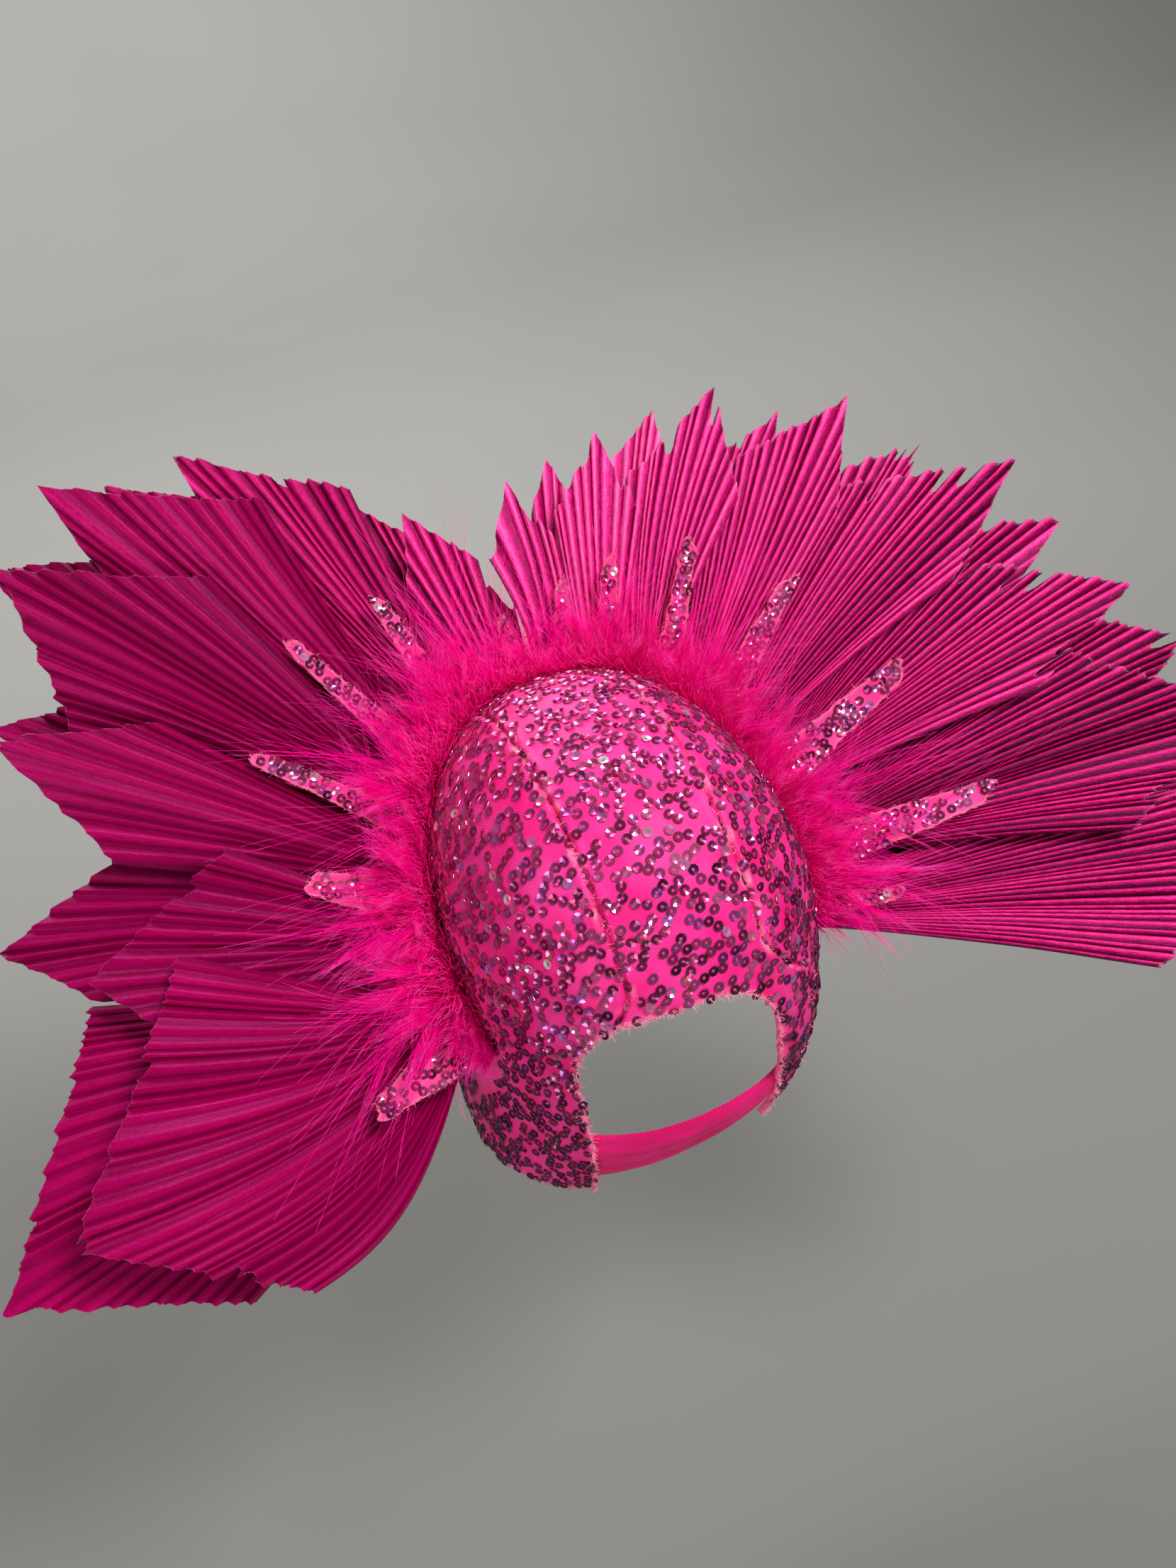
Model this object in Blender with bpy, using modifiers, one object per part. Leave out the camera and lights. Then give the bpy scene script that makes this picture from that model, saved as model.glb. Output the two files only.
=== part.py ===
"""Headpiece: a hollow skull cap with pleated palm leaves, a fur strip, cloth tabs and a nape strap.

Metres. +X is the wearer's left, -Y is ahead of the face, +Z is up. The origin is the middle of the head.
"""
import math
import random

import bmesh
import bpy
from mathutils import Matrix, Vector
from mathutils.bvhtree import BVHTree

# Head and cap
HEAD_HALF_WIDTH = 0.078
HEAD_AHEAD = 0.101
HEAD_BEHIND = 0.097
CROWN_HEIGHT = 0.108
CAP_DROP = 0.085
CAP_WALL = 0.002
PLAN_POWER = 2.2
SIDE_POWER = 2.15
CAP_SEGMENTS = 40
CAP_RINGS = 24
CUTTER_REACH = 1.5

# Face opening, seen from the side
HAIRLINE_HEIGHT = 0.052
EAR_AHEAD = 0.050
TEMPLE_SWEEP = 0.018

# Nape opening, seen from behind
NAPE_WIDTH = 0.080
NAPE_TOP = 0.026
NAPE_CORNER = 0.030
NAPE_SHIFT = 0.012

# Elastic strap
STRAP_LEFT_HEIGHT = 0.034
STRAP_RIGHT_HEIGHT = 0.012
STRAP_THICKNESS = 0.0022
STRAP_FOLD = 0.0014
STRAP_LAP = 0.008
STRAP_CLEARANCE = 0.0010
STRAP_MARGIN = 0.009
STRAP_RISE = 0.011
STRAP_COLUMNS = 18

# Line on the cap that the fan follows
FAN_LEAN = math.radians(45.0)
FAN_END = math.radians(-25.0)
SEAT_GAP = 0.0003
SEAT_SAMPLES = 9

# Leaves
LEAF_LENGTH = 0.200
LEAF_BASE_WIDTH = 0.014
LEAF_BASE_THICKNESS = 0.0022
LEAF_THICKNESS = 0.0011
LEAF_THINNING = 0.4
LEAF_HALF_ANGLE = math.radians(15.0)
LEAF_SHOULDER = 0.68
LEAF_TWIST = math.radians(9.0)
PLEATS = 9
LEAF_RINGS = (0.0, 0.5, 1.0)
PLEAT_DEPTH = 0.0022
CUT_JAG = 0.0035
ROW_CLEARANCE = 0.0056
ROW_FLARE = math.radians(9.0)

# Tabs
TAB_LENGTH = 0.080
TAB_BASE_WIDTH = 0.021
TAB_TIP_WIDTH = 0.009
TAB_THICKNESS = 0.0012
TAB_CLEARANCE = 0.0037
TAB_FLARE = math.radians(4.0)

# Fur strip
FUR_CLEARANCE = 0.0024
FUR_FLARE = math.radians(12.0)
FUR_WIDTH = 0.013
FUR_BACKING = 0.002
FUR_LENGTH = 0.036
FUR_COLUMNS = 44
FUR_ROWS = 2
FUR_SEED = 7

# Section of the cap below the middle of the head: shares of CAP_DROP and of the widths at the middle.
# shift: share of the half width by which the section lies to the wearer's left.
LOW_SECTIONS = [
    # drop, side, behind, ahead, shift
    (0.00, 1.000, 1.000, 1.000, 0.00),
    (0.30, 1.015, 0.980, 0.990, 0.03),
    (0.60, 1.020, 0.900, 0.970, 0.07),
    (0.80, 1.010, 0.810, 0.950, 0.10),
    (1.00, 0.985, 0.700, 0.920, 0.13),
]

# Strap from its lower to its upper edge. up: share of its height from the middle;
# fold: share of the fold depth by which the cloth lies further in.
STRAP_FOLDS = [
    # up, fold
    (-0.50, 1.0),
    (-0.20, 0.0),
    (0.00, 1.0),
    (0.25, 0.0),
    (0.50, 1.0),
]

# Lock of fur, from its root to its tip: share of the lock's length, and width as a share of the joint before.
LOCK_JOINTS = [
    # reach, width
    (0.55, 0.75),
    (0.45, 0.35),
]
LOCK_LENGTHS = (0.75, 1.10)
LOCK_SWAY = 0.12

# Leaves, from the wearer's left to the wearer's right.
# angle: degrees round the fan; length and width: shares of the leaf length and half angle;
# turn: degrees round, from straight outwards; tip: where across the leaf its point stands, from -1 to 1.
REAR_LEAVES = [
    # angle, length, width, turn, tip
    (-12, 0.86, 2.25, 9, 0.15),
    (13, 0.71, 1.55, 4, 0.10),
    (34, 0.93, 0.70, 2, -0.10),
    (47, 1.03, 1.15, 2, -0.10),
    (60, 1.05, 0.85, 2, 0.40),
    (72, 0.89, 0.75, -1, 0.50),
    (85, 0.50, 0.60, 0, 0.20),
    (98, 0.50, 0.52, 0, 0.00),
    (110, 0.62, 0.62, 0, 0.00),
    (121, 0.79, 0.72, 1, -0.20),
    (133, 0.90, 0.82, 0, -0.40),
    (147, 1.02, 1.00, 0, -0.60),
    (163, 1.05, 1.10, -1, -0.60),
    (182, 1.16, 1.15, -2, -0.30),
    (201, 1.16, 1.05, -6, 0.00),
]
FRONT_LEAVES = [
    (-2, 1.06, 1.70, -6, 0.20),
    (24, 0.90, 1.10, -6, 0.10),
    (41, 0.98, 0.90, 0, 0.20),
    (54, 1.14, 0.90, 2, 0.40),
    (67, 1.04, 0.75, 0, 0.50),
    (79, 0.72, 0.45, 1, 0.20),
    (90, 0.36, 0.60, 0, 0.00),
    (104, 0.62, 0.42, 2, 0.00),
    (115, 0.78, 0.66, 2, -0.20),
    (127, 0.88, 0.76, 0, -0.50),
    (140, 1.02, 0.86, 0, -0.60),
    (155, 1.14, 0.95, -1, -0.60),
    (173, 1.26, 1.05, -1, -0.30),
    (192, 1.18, 1.15, -3, 0.10),
]

# Tabs: angle round the fan in degrees; length and width as shares of the tab length and widths.
TABS = [
    # angle, length, width
    (-17, 0.66, 1.00),
    (26, 0.66, 1.00),
    (44, 1.00, 0.60),
    (60, 1.08, 0.60),
    (73, 0.90, 0.60),
    (90, 0.45, 0.50),
    (102, 0.60, 0.55),
    (111, 0.78, 0.60),
    (124, 0.98, 0.65),
    (140, 1.12, 0.70),
    (162, 1.18, 1.00),
    (185, 1.28, 1.00),
    (199, 0.60, 0.55),
]


def clear_scene():
    """Remove everything that the file holds."""
    for item in list(bpy.data.objects):
        bpy.data.objects.remove(item, do_unlink=True)


def add_collection(name):
    """Return a new collection under the scene."""
    group = bpy.data.collections.new(name)
    bpy.context.scene.collection.children.link(group)
    return group


def add_material(name, colour, roughness, metallic=0.0):
    """Return a Principled material with one colour."""
    material = bpy.data.materials.new(name)
    material.use_nodes = True
    shader = material.node_tree.nodes["Principled BSDF"]
    shader.inputs["Base Color"].default_value = (*colour, 1.0)
    shader.inputs["Roughness"].default_value = roughness
    shader.inputs["Metallic"].default_value = metallic
    material.diffuse_color = (*colour, 1.0)
    return material


def add_object(name, bm, material, group):
    """Turn a bmesh into a named object of the group."""
    mesh = bpy.data.meshes.new(name)
    bm.to_mesh(mesh)
    bm.free()
    item = bpy.data.objects.new(name, mesh)
    group.objects.link(item)
    if material:
        mesh.materials.append(material)
    return item


def low_shares(share):
    """Read the side, behind and ahead shares at a share of the drop."""
    for upper, lower in zip(LOW_SECTIONS, LOW_SECTIONS[1:]):
        if share <= lower[0]:
            part = (share - upper[0]) / (lower[0] - upper[0])
            return [a + part * (b - a) for a, b in zip(upper[1:], lower[1:])]
    return list(LOW_SECTIONS[-1][1:])


def section(height, behind):
    """Half width, half depth and sideways shift of the head at a height, for the back or the face half."""
    depth = HEAD_BEHIND if behind else HEAD_AHEAD
    if height >= 0.0:
        share = max(0.0, 1.0 - (height / CROWN_HEIGHT) ** SIDE_POWER) ** (1.0 / SIDE_POWER)
        return HEAD_HALF_WIDTH * share, depth * share, 0.0
    side, back, ahead, shift = low_shares(-height / CAP_DROP)
    return HEAD_HALF_WIDTH * side, depth * (back if behind else ahead), HEAD_HALF_WIDTH * shift


def level(point):
    """Height of a point in a field that is 1 on the cap's outer skin and less within it."""
    half_width, half_depth, shift = section(point.z, point.y > 0.0)
    if point.z >= CROWN_HEIGHT or half_width <= 0.0:
        return math.inf
    return abs((point.x - shift) / half_width) ** PLAN_POWER + abs(point.y / half_depth) ** PLAN_POWER


def is_inside(point):
    """Tell whether a point lies within the cap's outer skin."""
    return level(point) < 1.0


def skin_normal(point):
    """Outward direction of the skin near a point."""
    step = HEAD_HALF_WIDTH * 0.01
    here = level(point)
    slope = [level(point + Vector(axis) * step) - here for axis in ((1, 0, 0), (0, 1, 0), (0, 0, 1))]
    return Vector(slope).normalized()


def skin_distance(start, direction):
    """Distance from a point inside the head to the outer skin along a direction."""
    near, far = 0.0, 2.0 * (CROWN_HEIGHT + HEAD_HALF_WIDTH)
    for _ in range(32):
        middle = (near + far) / 2.0
        if is_inside(start + direction * middle):
            near = middle
        else:
            far = middle
    return near


def fan_axes(angle):
    """Outward direction at an angle round the fan, and the direction from the fan towards the nape."""
    back = Vector((0.0, math.cos(FAN_LEAN), math.sin(FAN_LEAN)))
    rise = Vector((0.0, -math.sin(FAN_LEAN), math.cos(FAN_LEAN)))
    outward = Vector((1.0, 0.0, 0.0)) * math.cos(angle) + rise * math.sin(angle)
    return outward, back


def fan_seat(angle, set_back, clearance=0.0):
    """Point on the cap at an angle round the fan, moved a distance towards the nape."""
    outward, back = fan_axes(angle)
    start = back * set_back
    return start + outward * (skin_distance(start, outward) + clearance)


def outline_cutter(name, points, half_depth, axes, group):
    """Make a closed prism from a flat outline, laid in the frame that the axes give."""
    curve = bpy.data.curves.new(name, "CURVE")
    curve.dimensions = "2D"
    curve.fill_mode = "BOTH"
    curve.extrude = half_depth
    spline = curve.splines.new("POLY")
    spline.points.add(len(points) - 1)
    spline.use_cyclic_u = True
    for target, (along, up) in zip(spline.points, points):
        target.co = (along, up, 0.0, 1.0)
    source = bpy.data.objects.new(name + "_outline", curve)
    bpy.context.scene.collection.objects.link(source)
    bpy.context.view_layer.update()
    graph = bpy.context.evaluated_depsgraph_get()
    mesh = bpy.data.meshes.new_from_object(source.evaluated_get(graph))
    bpy.data.objects.remove(source, do_unlink=True)
    bm = bmesh.new()
    bm.from_mesh(mesh)
    bpy.data.meshes.remove(mesh)
    bmesh.ops.remove_doubles(bm, verts=bm.verts, dist=0.00001)
    bmesh.ops.transform(bm, matrix=axes, verts=bm.verts)
    bmesh.ops.recalc_face_normals(bm, faces=bm.faces)
    cutter = add_object(name, bm, None, group)
    cutter.hide_render = True
    cutter.display_type = "WIRE"
    return cutter


def arc(centre, radius, start, end, steps):
    """Points along an arc, angles in degrees."""
    points = []
    for step in range(steps + 1):
        angle = math.radians(start + (end - start) * step / steps)
        points.append((centre[0] + radius * math.cos(angle), centre[1] + radius * math.sin(angle)))
    return points


def face_outline():
    """Side view of what the face opening takes away: y and z."""
    below = -CAP_DROP * CUTTER_REACH
    ahead = -HEAD_AHEAD * CUTTER_REACH
    temple = (-EAR_AHEAD - TEMPLE_SWEEP, HAIRLINE_HEIGHT - TEMPLE_SWEEP)
    curve = arc(temple, TEMPLE_SWEEP, 90.0, 0.0, 6)
    return [(ahead, below), (-EAR_AHEAD, below)] + curve[::-1] + [(ahead, HAIRLINE_HEIGHT)]


def nape_outline():
    """Rear view of the nape opening: x and z."""
    half = NAPE_WIDTH / 2.0
    below = -CAP_DROP * CUTTER_REACH
    high = NAPE_TOP - NAPE_CORNER
    left = arc((half - NAPE_CORNER, high), NAPE_CORNER, 0.0, 90.0, 5)
    right = arc((NAPE_CORNER - half, high), NAPE_CORNER, 90.0, 180.0, 5)
    points = [(half, below)] + left + right + [(-half, below)]
    return [(x + NAPE_SHIFT, z) for x, z in points]


def cut(target, cutter):
    """Take a cutter away from a piece."""
    modifier = target.modifiers.new("cut_" + cutter.name, "BOOLEAN")
    modifier.operation = "DIFFERENCE"
    modifier.solver = "EXACT"
    modifier.object = cutter


def head_skin():
    """Closed skin of the head: a sphere whose points are moved along their own directions."""
    bm = bmesh.new()
    bmesh.ops.create_uvsphere(bm, u_segments=CAP_SEGMENTS, v_segments=CAP_RINGS, radius=1.0)
    centre = Vector((0.0, 0.0, 0.0))
    for vertex in bm.verts:
        direction = vertex.co.normalized()
        vertex.co = direction * skin_distance(centre, direction)
    return bm


def build_cap(bm, material, group, cutters):
    """Hollow cap: the skin of the head cut open below, given its wall, then cut at face and nape."""
    everything = bm.verts[:] + bm.edges[:] + bm.faces[:]
    bmesh.ops.bisect_plane(bm, geom=everything, plane_co=(0.0, 0.0, -CAP_DROP), plane_no=(0.0, 0.0, -1.0),
                           clear_outer=True)
    cap = add_object("skull_cap", bm, material, group)
    wall = cap.modifiers.new("wall", "SOLIDIFY")
    wall.thickness = CAP_WALL
    wall.offset = -1.0
    wall.use_even_offset = True
    side_on = Matrix(((0, 0, 1, 0), (1, 0, 0, 0), (0, 1, 0, 0), (0, 0, 0, 1)))
    from_behind = Matrix(((1, 0, 0, 0), (0, 0, -1, 0), (0, 1, 0, 0), (0, 0, 0, 1)))
    cut(cap, outline_cutter("face_cutter", face_outline(), HEAD_HALF_WIDTH * CUTTER_REACH, side_on, cutters))
    nape = outline_cutter("nape_cutter", nape_outline(), HEAD_BEHIND, from_behind, cutters)
    nape.location.y = HEAD_BEHIND
    cut(cap, nape)
    return cap


def build_strap(material, group):
    """Folded band across the nape opening, with its ends lapped inside the cap's two corners."""
    half_span = NAPE_WIDTH / 2.0 + STRAP_LAP
    bm = bmesh.new()
    grid = []
    for column in range(STRAP_COLUMNS + 1):
        share = column / STRAP_COLUMNS
        x = NAPE_SHIFT + half_span * (1.0 - 2.0 * share)
        height = STRAP_LEFT_HEIGHT + (STRAP_RIGHT_HEIGHT - STRAP_LEFT_HEIGHT) * share
        centre = STRAP_MARGIN + STRAP_LEFT_HEIGHT / 2.0 - CAP_DROP + STRAP_RISE * share
        rows = []
        for up, fold in STRAP_FOLDS:
            z = centre + up * height
            half_width, half_depth, shift = section(z, True)
            across = abs((x - shift) / half_width)
            y = half_depth * (1.0 - across ** PLAN_POWER) ** (1.0 / PLAN_POWER)
            on_skin = Vector((x, y, z))
            depth = CAP_WALL + STRAP_CLEARANCE + STRAP_FOLD * fold
            rows.append(bm.verts.new(on_skin - skin_normal(on_skin) * depth))
        grid.append(rows)
    for first, second in zip(grid, grid[1:]):
        for row in range(len(STRAP_FOLDS) - 1):
            bm.faces.new((first[row], first[row + 1], second[row + 1], second[row]))
    bmesh.ops.recalc_face_normals(bm, faces=bm.faces)
    if sum((face.normal.y for face in bm.faces)) < 0.0:
        bmesh.ops.reverse_faces(bm, faces=bm.faces)
    strap = add_object("elastic_strap", bm, material, group)
    wall = strap.modifiers.new("wall", "SOLIDIFY")
    wall.thickness = STRAP_THICKNESS
    wall.offset = -1.0
    return strap


def leaf_frame(angle_degrees, set_back, lean, turn_degrees=0.0, twist=0.0):
    """Origin and axes of a leaf or tab: along its length, across it, and out of its rear face."""
    angle = math.radians(angle_degrees)
    outward, back = fan_axes(angle + math.radians(turn_degrees))
    along = outward * math.cos(lean) + back * math.sin(lean)
    face = back * math.cos(lean) - outward * math.sin(lean)
    across = face.cross(along)
    turn = Matrix.Rotation(twist, 3, along)
    return fan_seat(angle, set_back), along, turn @ across, turn @ face


def leaf_half_depth():
    """Half of the depth that a leaf's twisted base takes up along the line from face to nape."""
    return (LEAF_BASE_THICKNESS * math.cos(LEAF_TWIST) + LEAF_BASE_WIDTH * math.sin(LEAF_TWIST)) / 2.0


def front_set_back():
    """Distance from the fan's line to the front row of leaves, which lies ahead of it."""
    return -2.0 * leaf_half_depth() - ROW_CLEARANCE


def tab_set_back():
    """Distance from the fan's line to the tabs."""
    return leaf_half_depth() + TAB_CLEARANCE + TAB_THICKNESS / 2.0


def fur_set_back():
    """Distance from the fan's line to the near edge of the fur strip."""
    return tab_set_back() + TAB_THICKNESS / 2.0 + FUR_CLEARANCE


def seat_lift(skin, origin, along, across, face, width, depth):
    """Distance along a piece's length from its origin to where its base sits just clear of the cap."""
    inward = HEAD_HALF_WIDTH / 2.0
    lifts = []
    for sample in range(SEAT_SAMPLES):
        side = sample / (SEAT_SAMPLES - 1) - 0.5
        for layer in (-0.5, 0.5):
            corner = origin + across * (side * width) + face * (layer * depth)
            reach = skin.ray_cast(corner - along * inward, along)[3]
            lifts.append(reach - inward)
    return max(lifts) + SEAT_GAP


def leaf_reach(share, length, half_angle, tip):
    """Length of the leaf at a share of its half angle: two straight cuts that meet at the point."""
    spread = half_angle * (1.0 + tip if share < tip else 1.0 - tip)
    turn = half_angle * abs(share - tip)
    shoulder = LEAF_SHOULDER * math.sin(spread)
    rise = (1.0 - LEAF_SHOULDER * math.cos(spread)) * math.sin(turn)
    return length * shoulder / (shoulder * math.cos(turn) + rise)


def build_leaf(skin, name, row, set_back, lean, material, group):
    """One pleated leaf: radial folds between a narrow base and a pointed, jagged edge."""
    angle_degrees, length_share, width_share, turn_degrees, tip = row
    length = LEAF_LENGTH * length_share
    half_angle = LEAF_HALF_ANGLE * width_share
    origin, along, across, face = leaf_frame(angle_degrees, set_back, lean, turn_degrees, LEAF_TWIST)
    lift = seat_lift(skin, origin, along, across, face, LEAF_BASE_WIDTH, LEAF_BASE_THICKNESS)
    origin = origin + along * lift
    lines = 2 * PLEATS
    bm = bmesh.new()
    front, rear = [], []
    for line in range(lines + 1):
        share = 2.0 * line / lines - 1.0
        ridge = 1.0 if line % 2 else -1.0
        reach = leaf_reach(share, length, half_angle, tip) - (CUT_JAG if line % 2 else 0.0)
        start = across * (share * LEAF_BASE_WIDTH / 2.0)
        turn = share * half_angle
        ray = along * math.cos(turn) + across * math.sin(turn)
        front_line, rear_line = [], []
        for ring in LEAF_RINGS:
            fold = face * (ridge * PLEAT_DEPTH * 0.5 * ring)
            thickness = LEAF_BASE_THICKNESS + (LEAF_THICKNESS - LEAF_BASE_THICKNESS) * ring ** LEAF_THINNING
            middle = origin + start + ray * (reach * ring) + fold
            front_line.append(bm.verts.new(middle - face * (thickness / 2.0)))
            rear_line.append(bm.verts.new(middle + face * (thickness / 2.0)))
        front.append(front_line)
        rear.append(rear_line)
    for line in range(lines):
        for ring in range(len(LEAF_RINGS) - 1):
            for side, corners in ((rear, (0, 1, 1, 0)), (front, (1, 0, 0, 1))):
                low = [side[line + corner][ring] for corner in corners[:2]]
                high = [side[line + corner][ring + 1] for corner in corners[2:]]
                bm.faces.new(low + high)
        bm.faces.new((front[line][0], front[line + 1][0], rear[line + 1][0], rear[line][0]))
        bm.faces.new((front[line][-1], rear[line][-1], rear[line + 1][-1], front[line + 1][-1]))
    for side in (0, lines):
        for ring in range(len(LEAF_RINGS) - 1):
            bm.faces.new((front[side][ring], rear[side][ring], rear[side][ring + 1], front[side][ring + 1]))
    bmesh.ops.recalc_face_normals(bm, faces=bm.faces)
    return add_object(name, bm, material, group)


def build_tab(skin, name, row, material, group):
    """One tapered cloth strip that stands behind the rear row, between two leaves."""
    angle_degrees, length_share, width_share = row
    length = TAB_LENGTH * length_share
    base_width = TAB_BASE_WIDTH * width_share
    tip_width = TAB_TIP_WIDTH * width_share
    origin, along, across, face = leaf_frame(angle_degrees, tab_set_back(), ROW_FLARE + TAB_FLARE)
    lift = seat_lift(skin, origin, along, across, face, base_width, TAB_THICKNESS)
    bm = bmesh.new()
    bmesh.ops.create_cube(bm, size=1.0)
    frame = Matrix((across, along, -face)).transposed()
    for vertex in bm.verts:
        width = tip_width if vertex.co.y > 0.0 else base_width
        local = Vector((vertex.co.x * width, (vertex.co.y + 0.5) * length, vertex.co.z * TAB_THICKNESS))
        vertex.co = origin + along * lift + frame @ local
    return add_object(name, bm, material, group)


def build_fur(material, group):
    """Fur strip: a backing round the cap whose outer cells are drawn out into bent locks."""
    rng = random.Random(FUR_SEED)
    start, end = FAN_END, math.pi - FAN_END
    bm = bmesh.new()
    inner, outer = [], []
    for column in range(FUR_COLUMNS + 1):
        angle = start + (end - start) * column / FUR_COLUMNS
        low, high = [], []
        for row in range(FUR_ROWS + 1):
            set_back = fur_set_back() + FUR_WIDTH * row / FUR_ROWS
            low.append(bm.verts.new(fan_seat(angle, set_back, SEAT_GAP)))
            high.append(bm.verts.new(fan_seat(angle, set_back, SEAT_GAP + FUR_BACKING)))
        inner.append(low)
        outer.append(high)
    cells = []
    for column in range(FUR_COLUMNS):
        for row in range(FUR_ROWS):
            a, b = inner[column], inner[column + 1]
            bm.faces.new((a[row], b[row], b[row + 1], a[row + 1]))
            c, d = outer[column], outer[column + 1]
            cells.append((column, bm.faces.new((c[row], c[row + 1], d[row + 1], d[row]))))
        for row in (0, FUR_ROWS):
            a, b = inner[column][row], inner[column + 1][row]
            bm.faces.new((a, outer[column][row], outer[column + 1][row], b))
    for column in (0, FUR_COLUMNS):
        for row in range(FUR_ROWS):
            a, b = inner[column][row], inner[column][row + 1]
            bm.faces.new((a, b, outer[column][row + 1], outer[column][row]))
    bmesh.ops.recalc_face_normals(bm, faces=bm.faces)
    for column, cell in cells:
        angle = start + (end - start) * (column + 0.5) / FUR_COLUMNS
        draw_lock(bm, cell, angle, rng)
    return add_object("fur_trim", bm, material, group)


def draw_lock(bm, cell, angle, rng):
    """Draw one cell of the backing out into a lock that bends and narrows."""
    outward, back = fan_axes(angle)
    length = FUR_LENGTH * rng.uniform(*LOCK_LENGTHS)
    side = outward.cross(back)
    flare = math.tan(ROW_FLARE + TAB_FLARE + FUR_FLARE)
    run = (outward + back * flare + side * rng.uniform(-LOCK_SWAY, LOCK_SWAY)).normalized()
    for reach, size in LOCK_JOINTS:
        result = bmesh.ops.extrude_discrete_faces(bm, faces=[cell])
        cell = result["faces"][0]
        centre = cell.calc_center_median()
        for vertex in cell.verts:
            vertex.co = centre + (vertex.co - centre) * size + run * (length * reach)


def main():
    """Build the headpiece."""
    clear_scene()
    group = add_collection("sequin_headpiece")
    cutters = add_collection("cutters")
    skin_mesh = head_skin()
    skin = BVHTree.FromBMesh(skin_mesh)
    build_cap(skin_mesh, add_material("cap_cloth", (0.86, 0.03, 0.27), 0.55), group, cutters)
    build_strap(add_material("strap_elastic", (0.70, 0.0, 0.16), 0.7), group)
    build_fur(add_material("fur_pile", (0.80, 0.0, 0.22), 0.8), group)
    for number, row in enumerate(REAR_LEAVES, 1):
        name = f"leaf_rear_{number:02d}"
        build_leaf(skin, name, row, 0.0, ROW_FLARE, add_material(name, (0.75, 0.0, 0.22), 0.45), group)
    for number, row in enumerate(FRONT_LEAVES, 1):
        name = f"leaf_front_{number:02d}"
        build_leaf(skin, name, row, front_set_back(), 0.0, add_material(name, (0.70, 0.0, 0.22), 0.45), group)
    for number, row in enumerate(TABS, 1):
        name = f"tab_{number:02d}"
        build_tab(skin, name, row, add_material(name, (0.86, 0.05, 0.30), 0.5), group)


main()
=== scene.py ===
"""Looks of a pink sequinned headpiece with pleated palm leaves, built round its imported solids.

Metres. +X is the wearer's left, +Y is towards the nape, +Z is up. The origin is the middle of the head.
"""
import itertools
import logging
import math
import random
from dataclasses import dataclass, field
from enum import Enum
from typing import Callable

import bpy
import numpy as np
from mathutils import Matrix, Vector, noise
from mathutils.bvhtree import BVHTree


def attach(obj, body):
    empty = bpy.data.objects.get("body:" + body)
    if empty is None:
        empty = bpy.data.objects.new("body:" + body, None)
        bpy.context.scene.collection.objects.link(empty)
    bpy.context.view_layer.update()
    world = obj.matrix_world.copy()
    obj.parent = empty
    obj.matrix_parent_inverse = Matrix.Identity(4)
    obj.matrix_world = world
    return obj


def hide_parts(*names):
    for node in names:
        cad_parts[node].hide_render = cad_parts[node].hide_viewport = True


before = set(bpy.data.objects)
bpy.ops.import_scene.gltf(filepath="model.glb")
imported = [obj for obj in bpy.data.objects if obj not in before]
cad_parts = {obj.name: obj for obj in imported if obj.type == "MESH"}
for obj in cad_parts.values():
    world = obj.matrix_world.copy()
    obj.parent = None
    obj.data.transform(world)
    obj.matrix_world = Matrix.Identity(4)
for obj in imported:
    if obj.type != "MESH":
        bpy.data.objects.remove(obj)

LOG = logging.getLogger("headpiece")
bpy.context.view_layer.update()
MM = 0.001


class Slot(Enum):
    """Material slots of the record."""

    CAP = "cap_cloth"
    STRAP = "strap_cloth"
    FUR = "fur_pile"
    LEAF = "palm_leaf"
    TAB = "tab_cloth"
    SEQUIN = "sequin"


def deselect_all() -> None:
    """Leave edit mode and deselect every object."""
    if bpy.context.object and bpy.context.object.mode != "OBJECT":
        bpy.ops.object.mode_set(mode="OBJECT")
    bpy.ops.object.select_all(action="DESELECT")


def activate(piece: bpy.types.Object) -> None:
    """Make a piece the only one that operators act on.

    Args:
        piece: The piece.
    """
    deselect_all()
    piece.select_set(True)
    bpy.context.view_layer.objects.active = piece


def points_of(piece: bpy.types.Object) -> np.ndarray:
    """Read the places of a mesh's points.

    Args:
        piece: The mesh object.

    Returns:
        Rows of x, y and z.
    """
    places = np.empty(len(piece.data.vertices) * 3)
    piece.data.vertices.foreach_get("co", places)
    return places.reshape(-1, 3)


def set_points(piece: bpy.types.Object, places: np.ndarray) -> None:
    """Move a mesh's points to new places."""
    piece.data.vertices.foreach_set("co", places.astype(np.float32).ravel())
    piece.data.update()


def set_attribute(piece: bpy.types.Object, name: str, values: np.ndarray) -> None:
    """Store one number for each point of a mesh, for its material to read."""
    layer = piece.data.attributes.new(name, "FLOAT", "POINT")
    layer.data.foreach_set("value", values.astype(np.float32).ravel())


def set_uv(piece: bpy.types.Object, across: np.ndarray, along: np.ndarray) -> None:
    """Lay a UV map in metres.

    Args:
        piece: The mesh object.
        across: The first distance, for each point.
        along: The second distance, for each point.
    """
    corners = np.empty(len(piece.data.loops), np.int32)
    piece.data.loops.foreach_get("vertex_index", corners)
    layer = piece.data.uv_layers.active or piece.data.uv_layers.new(name="UVMap")
    places = np.stack([across[corners], along[corners]], axis=1)
    layer.data.foreach_set("uv", places.astype(np.float32).ravel())


def apply_modifier(piece: bpy.types.Object, kind: str, **settings: object) -> None:
    """Add a modifier, set it and apply it.

    Args:
        piece: The mesh object.
        kind: Blender's name for the kind of modifier.
        settings: The modifier's own settings.
    """
    activate(piece)
    modifier = piece.modifiers.new(kind.lower(), kind)
    for key, value in settings.items():
        setattr(modifier, key, value)
    bpy.ops.object.modifier_apply(modifier=modifier.name)


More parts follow.
